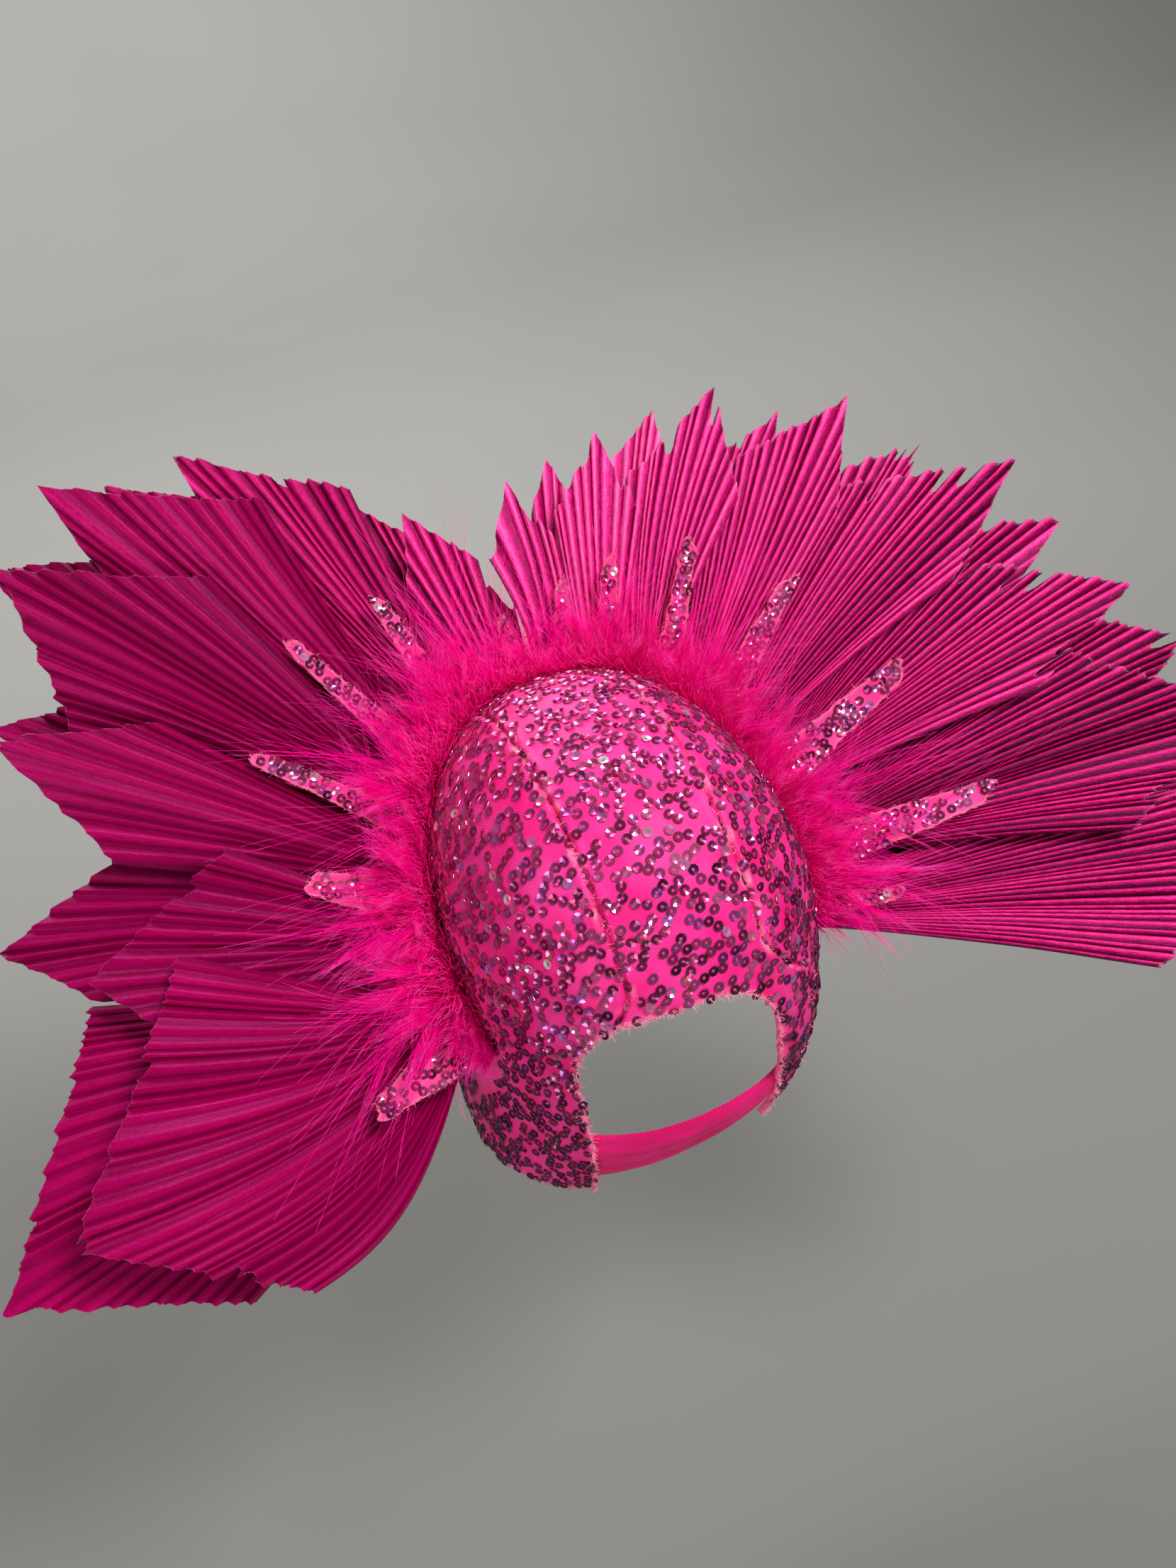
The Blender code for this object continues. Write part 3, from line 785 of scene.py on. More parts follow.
@dataclass
class Sequins:
    """Stamped, cupped rings, sewn on in short winding chains."""

    outer: float = 4.1 * MM
    hole: float = 1.4 * MM
    cup: float = 0.40 * MM
    film: float = 0.12 * MM
    sides: int = 9
    pitch: float = 4.15 * MM
    clear: float = 3.55 * MM
    lift: float = 0.62 * MM
    tilt: float = 0.13
    bright: float = 0.006
    shortest_chain: int = 3
    longest_chain: int = 12
    off_cloth: float = 0.6 * MM

    def template(self) -> bpy.types.Object:
        """Model one ring: an open cone from the hole to the outer edge, as thick as the film.

        Returns:
            The ring, with the middle of its hole at the origin.
        """
        deselect_all()
        bpy.ops.mesh.primitive_cone_add(
            vertices=self.sides, radius1=self.hole / 2.0, radius2=self.outer / 2.0, depth=self.cup,
            end_fill_type="NOTHING")
        ring = bpy.context.object
        set_points(ring, points_of(ring) - np.array([0.0, 0.0, self.cup / 2.0]))
        apply_modifier(ring, "SOLIDIFY", thickness=self.film, offset=0.0)
        activate(ring)
        bpy.ops.object.mode_set(mode="EDIT")
        bpy.ops.mesh.select_all(action="SELECT")
        bpy.ops.mesh.normals_make_consistent(inside=False)
        bpy.ops.object.mode_set(mode="OBJECT")
        return ring

    def build(self, name: str, places: np.ndarray, normals: np.ndarray, veil: np.ndarray,
              painted_shade: np.ndarray, rng: np.random.Generator) -> bpy.types.Object:
        """Set one ring at each place.

        Args:
            name: The piece's name.
            places: Points on the cloth.
            normals: The cloth's directions there.
            veil: How far each ring takes on the cloth's colour, from 0 to 1.
            painted_shade: How much painted shade darkens each ring, from 0 to 1.
            rng: Source of tilt, turn and tone.

        Returns:
            The joined piece.
        """
        template = self.template()
        ring = points_of(template)
        up = unit(normals + rng.normal(size=normals.shape) * self.tilt)
        side = unit(np.cross(up, rng.normal(size=up.shape)))
        front = np.cross(up, side)
        centre = places + normals * self.lift
        flat = centre[:, None] + ring[None, :, :1] * side[:, None] + ring[None, :, 1:2] * front[:, None]
        copies = flat + ring[None, :, 2:] * up[:, None]
        piece = joined(name, template, copies)
        # Painted shade darkens the rings where it is asked for.
        tone = np.clip(rng.beta(1.7, 2.4, size=len(places)), 0.0, 0.95) * (1.0 - painted_shade)
        tone = np.where(rng.random(len(places)) < self.bright, 1.0, tone)
        set_attribute(piece, "tone", np.repeat(tone, len(ring)))
        spread = np.clip(veil + 0.12 * rng.normal(size=len(places)), 0.0, 0.8)
        set_attribute(piece, "veil", np.repeat(np.where(tone > 0.95, 0.0, spread), len(ring)))
        tint = np.repeat(rng.random(len(places)), len(ring))
        set_attribute(piece, "tint", np.clip(tint + 0.20 * rng.normal(size=len(tint)), 0.0, 1.0))
        return piece

    def chains(self, cloth: Surface, allowed: Callable[[Vector], float], goal: int, rng: random.Random,
               margin: float = 0.0) -> tuple[np.ndarray, np.ndarray]:
        """Walk short winding chains over the cloth.

        Args:
            cloth: What they are sewn to.
            allowed: Gives the chance that a chain starts at a point, and 0 where no ring may lie.
            goal: The number of rings.
            rng: Source of chance.
            margin: How far the rings' middles keep from the cloth's edges.

        Returns:
            The rings' places and the cloth's directions there.
        """
        shift = cloth.lift or Vector((0.0, 0.0, 0.0))
        rims = [middle + shift for middle, _ in cloth.rims]
        cells: dict[tuple[int, int, int], list[Vector]] = {}
        places, normals = [], []

        def key(place: Vector) -> tuple[int, int, int]:
            """Cell of the grid that holds a point."""
            return tuple(int(math.floor(value / self.pitch)) for value in place)

        def crowded(place: Vector) -> bool:
            """Tell whether a ring lies too close to a point.

            Args:
                place: The point.

            Returns:
                True where one does.
            """
            home = key(place)
            steps = itertools.product((-1, 0, 1), repeat=3)
            near = (tuple(value + move for value, move in zip(home, step)) for step in steps)
            return any((other - place).length < self.clear for cell in near for other in cells.get(cell, ()))

        def near_edge(place: Vector) -> bool:
            """Tell whether a ring would hang over the cloth's edge."""
            return margin > 0.0 and any((rim - place).length < margin for rim in rims)

        starts = rng.choices(cloth.centres, cloth.areas, k=goal * 12)
        for start in starts:
            if len(places) >= goal:
                break
            place, normal = cloth.nearest(start)
            if rng.random() > allowed(place) or crowded(place) or near_edge(place):
                continue
            heading = normal.cross(Vector((rng.uniform(-1, 1), rng.uniform(-1, 1), rng.uniform(-1, 1))))
            heading.normalize()
            for _ in range(rng.randint(self.shortest_chain, self.longest_chain)):
                places.append(place)
                normals.append(normal)
                cells.setdefault(key(place), []).append(place)
                heading = Matrix.Rotation(rng.gauss(0.0, 0.62), 3, normal) @ heading
                target = place + heading * (self.pitch * rng.uniform(0.92, 1.06))
                place, normal = cloth.nearest(target)
                lost = (place - target).length > self.off_cloth or allowed(place) <= 0.0
                if lost or crowded(place) or near_edge(place):
                    break
                heading = (heading - normal * heading.dot(normal)).normalized()
        return np.array(places), np.array(normals)


@dataclass
class Fray:
    """Threads that stand out of a cut edge."""

    each: int = 5
    shortest: float = 0.8 * MM
    longest: float = 2.8 * MM
    width: float = 0.26 * MM
    tip_width: float = 0.12 * MM

    def tuft(self, start: Vector, out: Vector, rng: np.random.Generator) -> list[Vector]:
        """Bend one thread.

        Args:
            start: Its root.
            out: The way that it leaves the cloth.
            rng: Source of its length and bend.

        Returns:
            Three points along it.
        """
        length = rng.uniform(self.shortest, self.longest)
        run = out.normalized() * length
        return [start, start + run * 0.5, start + run + Vector(rng.normal(size=3)) * length * 0.3]

    def edges(self, cloth: Surface, rng: np.random.Generator, behind: float = -1.0) -> list[list[Vector]]:
        """Bend threads out of the edges of a cloth.

        Args:
            cloth: The cloth.
            rng: Source of their places, lengths and bends.
            behind: Only edges that lie further towards the nape than this fray.

        Returns:
            The threads' points.
        """
        shift = cloth.lift or Vector((0.0, 0.0, 0.0))
        lines = []
        for middle, run in cloth.rims:
            if middle.y < behind:
                continue
            _, normal = cloth.nearest(middle)
            for _ in range(self.each):
                out = Vector(rng.normal(size=3)) * 0.5 + normal * 0.3
                lines.append(self.tuft(middle + shift + run * rng.uniform(-0.5, 0.5), out, rng))
        return lines

    def build(self, name: str, lines: list[list[Vector]], rng: np.random.Generator) -> bpy.types.Object:
        """Make the threads.

        Args:
            name: The piece's name.
            lines: The threads' points.
            rng: Source of their turns.

        Returns:
            The piece, pale enough for frayed cloth.
        """
        rows = np.array(lines)
        piece = Ribbons(3, self.width, self.tip_width).build(name, rows, unit(rows[:, 0]), rng)
        set_attribute(piece, "edge", np.full(len(piece.data.vertices), 0.85))
        return piece


@dataclass(frozen=True)
class SeamWork:
    """Relief of the sewn cloth: a groove, a ridge and puckers at each seam, and dents all over."""

    groove: float = 1.0 * MM
    groove_width: float = 0.9 * MM
    ridge: float = 0.55 * MM
    ridge_place: float = 2.4 * MM
    ridge_width: float = 1.5 * MM
    ridge_patch: float = 7.0 * MM
    pucker: float = 0.45 * MM
    pucker_rate: float = 150.0
    pucker_width: float = 5.0 * MM
    pucker_patch: float = 20.0 * MM
    dent: float = 0.9 * MM
    dent_size: float = 26.0 * MM
    crease: float = 0.35 * MM
    crease_size: float = 9.0 * MM

    def height(self, places: np.ndarray, turn: np.ndarray, away: np.ndarray) -> np.ndarray:
        """Work out how far points of the cloth stand out.

        Args:
            places: The points.
            turn: Their angles from the nape over the crown, in radians.
            away: Their distances from the nearer seam.

        Returns:
            The heights, below zero where the cloth is sunk.
        """
        groove = -self.groove * np.exp(-((away / self.groove_width) ** 2))
        ridge = self.ridge * np.exp(-(((away - self.ridge_place) / self.ridge_width) ** 2))
        uneven = 1.0 + 0.8 * ripple(places, self.ridge_patch, 1.0)
        waves = np.sin(turn * self.pucker_rate + 3.0 * ripple(places, self.pucker_patch, 2.0))
        pucker = self.pucker * waves * np.exp(-away / self.pucker_width)
        dents = self.dent * ripple(places, self.dent_size, 3.0)
        creases = self.crease * ripple(places, self.crease_size, 5.0)
        return groove + ridge * uneven + pucker + (dents + creases)


@dataclass
class CapCloth:
    """The sewn cap: three panels, two seams, a face opening and a rounded nape opening."""

    head: HeadForm
    fan: FanLine
    wall: float = 2.0 * MM
    segments: int = 240
    rings: int = 120
    hairline: float = 52.0 * MM
    ear_ahead: float = 50.0 * MM
    temple_sweep: float = 18.0 * MM
    nape_width: float = 80.0 * MM
    nape_top: float = 26.0 * MM
    nape_corner: float = 30.0 * MM
    nape_shift: float = 12.0 * MM
    seam_place: float = 28.0 * MM
    seam_share: float = 0.30
    seam_flare: float = 16.0 * MM
    flare_from_degrees: float = 24.0
    flare_run_degrees: float = 16.0
    flare_most: float = 1.25
    gather: float = 0.7
    cutter_reach: float = 150.0 * MM
    cutter_grain: float = 2.5 * MM
    bald: float = 17.0 * MM
    bald_ends: float = 0.10
    thinned: float = 0.80
    sequin_count: int = 2400
    relief: SeamWork = field(default_factory=SeamWork)
    finish: Finish = field(default_factory=lambda: SatinTwill("satin_twill"))

    def seam_side(self, turn: np.ndarray) -> np.ndarray:
        """Work out how far each seam lies from the cap's middle.

        Args:
            turn: Angles from the nape over the crown, in radians.

        Returns:
            The distances.
        """
        low = (self.flare_from_degrees - np.degrees(turn)) / self.flare_run_degrees
        low = np.clip(low, 0.0, self.flare_most)
        return self.seam_place + self.seam_flare * low ** 1.5

    def bearings(self, places: np.ndarray) -> tuple[np.ndarray, np.ndarray]:
        """Find the angles of points on the cap.

        Args:
            places: The points.

        Returns:
            Angles from the nape over the crown, and from the middle towards an ear, in radians.
        """
        turn = np.arctan2(places[:, 2], places[:, 1])
        turn = np.where(turn < -math.pi / 2.0, turn + 2.0 * math.pi, turn)
        return turn, np.arctan2(places[:, 0], np.hypot(places[:, 1], places[:, 2]))

    def seam_distance(self, places: np.ndarray) -> np.ndarray:
        """Distance of points from the nearer seam."""
        turn, _ = self.bearings(places)
        return np.abs(np.abs(places[:, 0]) - self.seam_side(turn))

    def block(self) -> bpy.types.Object:
        """Shape a sphere, with its poles at the ears and its rings gathered at the seams, to the head.

        Returns:
            The closed form, one layer thick.
        """
        deselect_all()
        bpy.ops.mesh.primitive_uv_sphere_add(segments=self.segments, ring_count=self.rings, radius=1.0)
        cap = bpy.context.object
        cap.name = cap.data.name = "cap"
        ball = points_of(cap)
        share = np.arcsin(np.clip(ball[:, 2], -1.0, 1.0)) / (math.pi / 2.0)
        turn = np.arctan2(ball[:, 1], ball[:, 0])
        plane = np.stack([np.zeros_like(turn), np.cos(turn), np.sin(turn)], axis=1)
        side = np.sign(share) * self.seam_side(np.where(turn < -math.pi / 2.0, turn + 2.0 * math.pi, turn))
        start = np.stack([side, np.zeros_like(side), np.zeros_like(side)], axis=1)
        seam = np.abs(np.arctan2(side, self.head.reach(start, plane)))
        inner = np.abs(share) / self.seam_share
        inner = inner + self.gather * np.sin(math.pi * inner) / math.pi
        outer = np.clip((np.abs(share) - self.seam_share) / (1.0 - self.seam_share), 0.0, 1.0)
        outer = outer - self.gather * np.sin(math.pi * outer) / math.pi
        beyond = seam + (math.pi / 2.0 - seam) * outer
        angle = np.sign(share) * np.where(np.abs(share) < self.seam_share, seam * inner, beyond)
        toward = plane * np.cos(angle)[:, None]
        toward[:, 0] = np.sin(angle)
        set_points(cap, toward * self.head.reach(np.zeros_like(toward), toward)[:, None])
        return cap

    def cutter(self, name: str, size: Vector, centre: Vector, corner: float,
               axis: int) -> bpy.types.Object:
        """Model a cutter: a box whose upper edges along one axis are rounded, with uneven sides.

        Args:
            name: Its name.
            size: Its width, depth and height.
            centre: Its middle.
            corner: Radius of its rounded edges.
            axis: The axis that the rounded edges follow, 0 for X and 1 for Y.

        Returns:
            The cutter.
        """
        deselect_all()
        bpy.ops.mesh.primitive_cube_add(size=1.0)
        box = bpy.context.object
        box.name = name
        set_points(box, points_of(box) * np.array(size) + np.array(centre))
        bpy.ops.object.mode_set(mode="EDIT")
        bpy.ops.mesh.select_mode(type="EDGE")
        bpy.ops.object.mode_set(mode="OBJECT")
        for edge in box.data.edges:
            start, end = (box.data.vertices[index].co for index in edge.vertices)
            run = end - start
            follows = abs(run[axis]) > 0.9 * run.length
            inner_side = axis == 1 or start.y > centre.y
            edge.select = follows and start.z > centre.z and inner_side
        bpy.ops.object.mode_set(mode="EDIT")
        bpy.ops.mesh.bevel(offset=corner, segments=10, affect="EDGES")
        bpy.ops.object.mode_set(mode="OBJECT")
        apply_modifier(box, "REMESH", mode="VOXEL", voxel_size=self.cutter_grain)
        places = points_of(box)
        # Threads that give make the edge uneven by half a millimetre, and the scissors by a little more.
        uneven = ripple(places, 3.2 * MM, 4.0) * 0.5 * MM + ripple(places, 14.0 * MM, 7.0) * 0.8 * MM
        set_points(box, places + unit(places - np.array(centre)) * uneven[:, None])
        return box

    def cut(self, cap: bpy.types.Object) -> None:
        """Open the cap below, at the face and at the nape.

        Args:
            cap: The closed form.
        """
        activate(cap)
        bpy.ops.object.mode_set(mode="EDIT")
        bpy.ops.mesh.select_all(action="SELECT")
        bpy.ops.mesh.bisect(
            plane_co=(0.0, 0.0, -self.head.drop), plane_no=(0.0, 0.0, -1.0), clear_outer=True)
        bpy.ops.object.mode_set(mode="OBJECT")
        far = self.cutter_reach
        high = self.hairline + far
        middle = Vector((0.0, -self.ear_ahead - far / 2.0, self.hairline - high / 2.0))
        face = self.cutter("face_cut", Vector((2.0 * far, far, high)), middle, self.temple_sweep, 0)
        high = self.nape_top + far
        middle = Vector((self.nape_shift, far / 2.0, self.nape_top - high / 2.0))
        nape = self.cutter("nape_cut", Vector((self.nape_width, far, high)), middle, self.nape_corner, 1)
        for cutter in (face, nape):
            apply_modifier(cap, "BOOLEAN", operation="DIFFERENCE", solver="EXACT", object=cutter)
            bpy.data.objects.remove(cutter, do_unlink=True)

    def wrinkle(self, cap: bpy.types.Object) -> None:
        """Sink the seams, pucker the cloth beside them and dent it a little.

        Args:
            cap: The open cap.
        """
        places = points_of(cap)
        turn, _ = self.bearings(places)
        out = self.relief.height(places, turn, self.seam_distance(places))
        set_points(cap, places + self.head.normals(places) * out[:, None])

    def mark(self, cap: bpy.types.Object, cloth: Surface) -> None:
        """Store what the material reads: the cloth's own map, the painted shade in its seams and its cut
        edges.

        Args:
            cap: The cap, with its wall.
            cloth: Its outer face.
        """
        places = points_of(cap)
        turn, ear = self.bearings(places)
        set_uv(cap, turn * self.head.behind, ear * self.head.half_width)
        away = self.seam_distance(places)
        # The painted shade in a seam's groove is 0.8 mm to each side, and the glue beside it lies in
        # patches.
        set_attribute(cap, "seam", 0.85 * np.exp(-((away / (0.8 * MM)) ** 2)))
        rims = np.array([rim[0] for rim in cloth.rims])
        near = np.array([np.min(np.sum((rims - place) ** 2, axis=1)) for place in places]) ** 0.5
        frayed = 0.55 * np.clip(1.0 - near / (1.6 * MM), 0.0, 1.0)
        patches = np.clip(2.4 * ripple(places, 5.0 * MM, 11.0) - 0.35, 0.0, 1.0)
        glue = 0.75 * patches * np.exp(-(((away - 1.3 * MM) / (1.2 * MM)) ** 2))
        set_attribute(cap, "edge", np.maximum(frayed, glue))

    def build(self) -> tuple[bpy.types.Object, Surface]:
        """Make the cap.

        Returns:
            The piece, and its outer face for the sequins and threads.
        """
        cap = self.block()
        self.cut(cap)
        self.wrinkle(cap)
        cloth = Surface(cap)
        apply_modifier(cap, "SOLIDIFY", thickness=self.wall, offset=-1.0)
        self.mark(cap, cloth)
        smooth(cap, 55.0)
        return settle(cap, self.finish.build(), Slot.CAP, "skull_cap"), cloth

    def chance(self, place: Vector) -> float:
        """Give the chance that a chain of sequins starts at a point: none under the leaves and the fur.

        Args:
            place: The point.

        Returns:
            The chance, from 0 to 1.
        """
        row = np.array(place)
        set_back = float(np.dot(row, self.fan.back))
        angle = self.fan.angle(row)
        ends = (self.fan.end - self.bald_ends, self.fan.end + self.fan.span + self.bald_ends)
        if ends[0] < angle < ends[1] and abs(set_back) < self.bald:
            return 0.0
        low_left = place.x > 10.0 * MM and place.z < 5.0 * MM
        return 1.0 if low_left else self.thinned

    def sequins(self, cloth: Surface, film: bpy.types.Material) -> None:
        """Sew the sequins on, one piece for each panel.

        Args:
            cloth: The cap's outer face.
            film: The sequins' material.
        """
        maker = Sequins()
        places, normals = maker.chains(cloth, self.chance, self.sequin_count, random.Random(5))
        rng = np.random.default_rng(6)
        panel = np.where(np.abs(places[:, 0]) < self.seam_place, 0, np.sign(places[:, 0]))
        # The cloth shows through the rings high up and at the sides, and those low down are darkened with
        # painted shade.
        high = np.clip((places[:, 2] - 25.0 * MM) / (70.0 * MM), 0.0, 1.0)
        aside = np.clip((np.abs(places[:, 0]) - 25.0 * MM) / (55.0 * MM), 0.0, 1.0)
        low = np.clip((15.0 * MM - places[:, 2]) / (40.0 * MM), 0.0, 1.0)
        veil = (0.32 * high + 0.20 * aside) * (1.0 - low)
        painted_shade = 0.6 * low
        for name, side in (("sequins_middle", 0), ("sequins_left", 1), ("sequins_right", -1)):
            chosen = panel == side
            piece = maker.build(name, places[chosen], normals[chosen], veil[chosen], painted_shade[chosen], rng)
            settle(piece, film, Slot.SEQUIN)

    def threads(self, cloth: Surface, colour: bpy.types.Material) -> None:
        """Fray the nape opening's edge and the seams.

        Args:
            cloth: The cap's outer face.
            colour: The cap's material.
        """
        rng = np.random.default_rng(8)
        fray = Fray()
        lines = fray.edges(cloth, rng, 20.0 * MM)
        for centre in cloth.centres:
            away = float(self.seam_distance(np.array([centre]))[0])
            if centre.y < 0.0 or away > 2.6 * MM or rng.random() > 0.30:
                continue
            hit, normal = cloth.nearest(centre)
            lines.append(fray.tuft(hit, Vector(rng.normal(size=3)) * 0.8 + normal * 0.5, rng))
        settle(fray.build("loose_threads", lines, rng), colour, Slot.CAP)


@dataclass
class NapeStrap:
    """The folded band across the nape opening, three layers high."""

    head: HeadForm
    cap: CapCloth
    left_height: float = 34.0 * MM
    right_height: float = 12.0 * MM
    thickness: float = 2.2 * MM
    fold: float = 1.4 * MM
    lap: float = 8.0 * MM
    clearance: float = 1.0 * MM
    margin: float = 9.0 * MM
    rise: float = 11.0 * MM
    layers: int = 3
    slope: float = 0.82
    tuck: float = 0.07
    sag: float = 0.5 * MM
    sag_size: float = 12.0 * MM
    steps: int = 90
    rows: int = 36
    finish: Finish = field(default_factory=lambda: SatinTwill(
        "folded_twill", light="#F4157C", deep="#D8005E", shadow="#8A0033", frayed="#FF8DB0"))

    def build(self) -> bpy.types.Object:
        """Make the strap from a grid that is bent round the nape and folded along its length.

        Returns:
            The strap.
        """
        deselect_all()
        bpy.ops.mesh.primitive_grid_add(x_subdivisions=self.steps, y_subdivisions=self.rows, size=1.0)
        strap = bpy.context.object
        strap.name = strap.data.name = "strap"
        flat = points_of(strap)
        share, up = 0.5 - flat[:, 0], flat[:, 1]
        half_span = self.cap.nape_width / 2.0 + self.lap
        x = self.cap.nape_shift + half_span * (1.0 - 2.0 * share)
        height = self.left_height + (self.right_height - self.left_height) * share
        centre = self.margin + self.left_height / 2.0 - self.head.drop + self.rise * share
        z = centre + up * height
        wide, deep, shift = self.head.section(z, np.ones_like(z, bool))
        across = np.clip(np.abs((x - shift) / wide), 0.0, 0.999)
        y = deep * (1.0 - across ** self.head.plan_power) ** (1.0 / self.head.plan_power)
        skin = np.stack([x, y, z], axis=1)
        layer = np.clip((0.5 - up) * self.layers, 0.0, self.layers - 1e-6)
        part = layer % 1.0
        # Each layer rises from its fold and tucks under the next one.
        tucked = np.where(part > 1.0 - self.tuck, (1.0 - part) / self.tuck, 1.0)
        step = np.clip(part / self.slope, 0.0, 1.0) ** 0.8 * tucked
        sag = self.sag * ripple(skin * np.array([1.0, 1.0, 3.0]), self.sag_size, 9.0)
        depth = self.cap.wall + self.clearance + self.fold * (1.0 - step) + sag * 0.6
        normals = self.head.normals(skin)
        set_points(strap, skin - normals * depth[:, None])
        apply_modifier(strap, "SOLIDIFY", thickness=self.thickness, offset=-1.0)
        places = points_of(strap)
        set_uv(strap, places[:, 0], places[:, 2])
        smooth(strap, 50.0)
        return settle(strap, self.finish.build(), Slot.STRAP, "elastic_strap")


@dataclass(frozen=True)
class LeafCut:
    """How one leaf is placed and trimmed: shares of the leaf's length and half angle, angles in degrees."""

    angle: float
    length: float
    width: float
    turn: float
    tip: float


# Section of one crisp pleat: places across it, how high it stands there and how brightly it shows, in
# painted light and painted shade.
PLEAT_PLACES = (0.0, 0.333, 0.5, 0.667, 0.833, 1.0)
PLEAT_RISE = (-1.0, 0.1, 0.65, 1.0, 0.4, -1.0)
PLEAT_LIGHT = (0.0, 0.17, 0.40, 0.62, 0.33, 0.0)


@dataclass
class Pleats:
    """Where the points of a leaf's grid lie among its folds, with one number for each point.

    A share runs across the leaf from -1 to 1, a ring along it and a part across one pleat from 0 to 1.
    """

    count: int
    broad: float
    share: np.ndarray
    ring: np.ndarray
    number: np.ndarray
    part: np.ndarray

    @classmethod
    def on(cls, flat: np.ndarray, count: int, broad: float, rng: np.random.Generator) -> "Pleats":
        """Divide a grid into pleats of uneven breadth.

        Args:
            flat: The grid's points, from -1 to 1.
            count: The number of pleats.
            broad: How broad and round they are, from 0 to 1.
            rng: Source of their breadths.

        Returns:
            The pleats.
        """
        phase = (flat[:, 0] + 1.0) / 2.0 * count
        number = np.clip(np.floor(phase + 1e-6), 0, count - 1).astype(int)
        borders = np.concatenate([[0.0], np.cumsum(rng.uniform(0.5, 1.5, count))])
        share = np.interp(phase, np.arange(count + 1), borders / borders[-1] * 2.0 - 1.0)
        return cls(count, broad, share, (flat[:, 1] + 1.0) / 2.0, number, phase - number)

    def rise(self) -> np.ndarray:
        """How high the folds stand, from -1 to 1: crisp, or round where they are broad."""
        crisp = np.interp(self.part, PLEAT_PLACES, PLEAT_RISE)
        return crisp + (-np.cos(2.0 * math.pi * self.part) - crisp) * self.broad

    def light(self) -> np.ndarray:
        """How brightly the folds show, from 0 to 1, as painted light and shade: less unevenly where they are
        broad.
        """
        lit = np.interp(self.part, PLEAT_PLACES, PLEAT_LIGHT) * (0.75 + 0.25 * self.ring)
        return lit + (0.24 + 0.26 * lit - lit) * self.broad
REAR_LEAVES = tuple(LeafCut(*row) for row in (
    (-12, 0.86, 2.25, 9, 0.15), (13, 0.71, 1.55, 4, 0.10), (34, 0.93, 0.70, 2, -0.10),
    (47, 1.03, 1.15, 2, -0.10), (60, 1.05, 0.85, 2, 0.40), (72, 0.89, 0.75, -1, 0.50),
    (85, 0.50, 0.60, 0, 0.20), (98, 0.50, 0.52, 0, 0.00), (110, 0.62, 0.62, 0, 0.00),
    (121, 0.79, 0.72, 1, -0.20), (133, 0.90, 0.82, 0, -0.40),
    (147, 1.02, 1.00, 0, -0.60), (163, 1.05, 1.10, -1, -0.60), (182, 1.16, 1.15, -2, -0.30),
    (201, 1.16, 1.05, -6, 0.00)))
FRONT_LEAVES = tuple(LeafCut(*row) for row in (
    (-2, 1.06, 1.70, -6, 0.20), (24, 0.90, 1.10, -6, 0.10), (41, 0.98, 0.90, 0, 0.20),
    (54, 1.14, 0.90, 2, 0.40), (67, 1.04, 0.75, 0, 0.50), (79, 0.72, 0.45, 1, 0.20),
    (90, 0.36, 0.60, 0, 0.00), (104, 0.62, 0.42, 2, 0.00), (115, 0.78, 0.66, 2, -0.20),
    (127, 0.88, 0.76, 0, -0.50), (140, 1.02, 0.86, 0, -0.60),
    (155, 1.14, 0.95, -1, -0.60), (173, 1.26, 1.05, -1, -0.30), (192, 1.18, 1.15, -3, 0.10)))


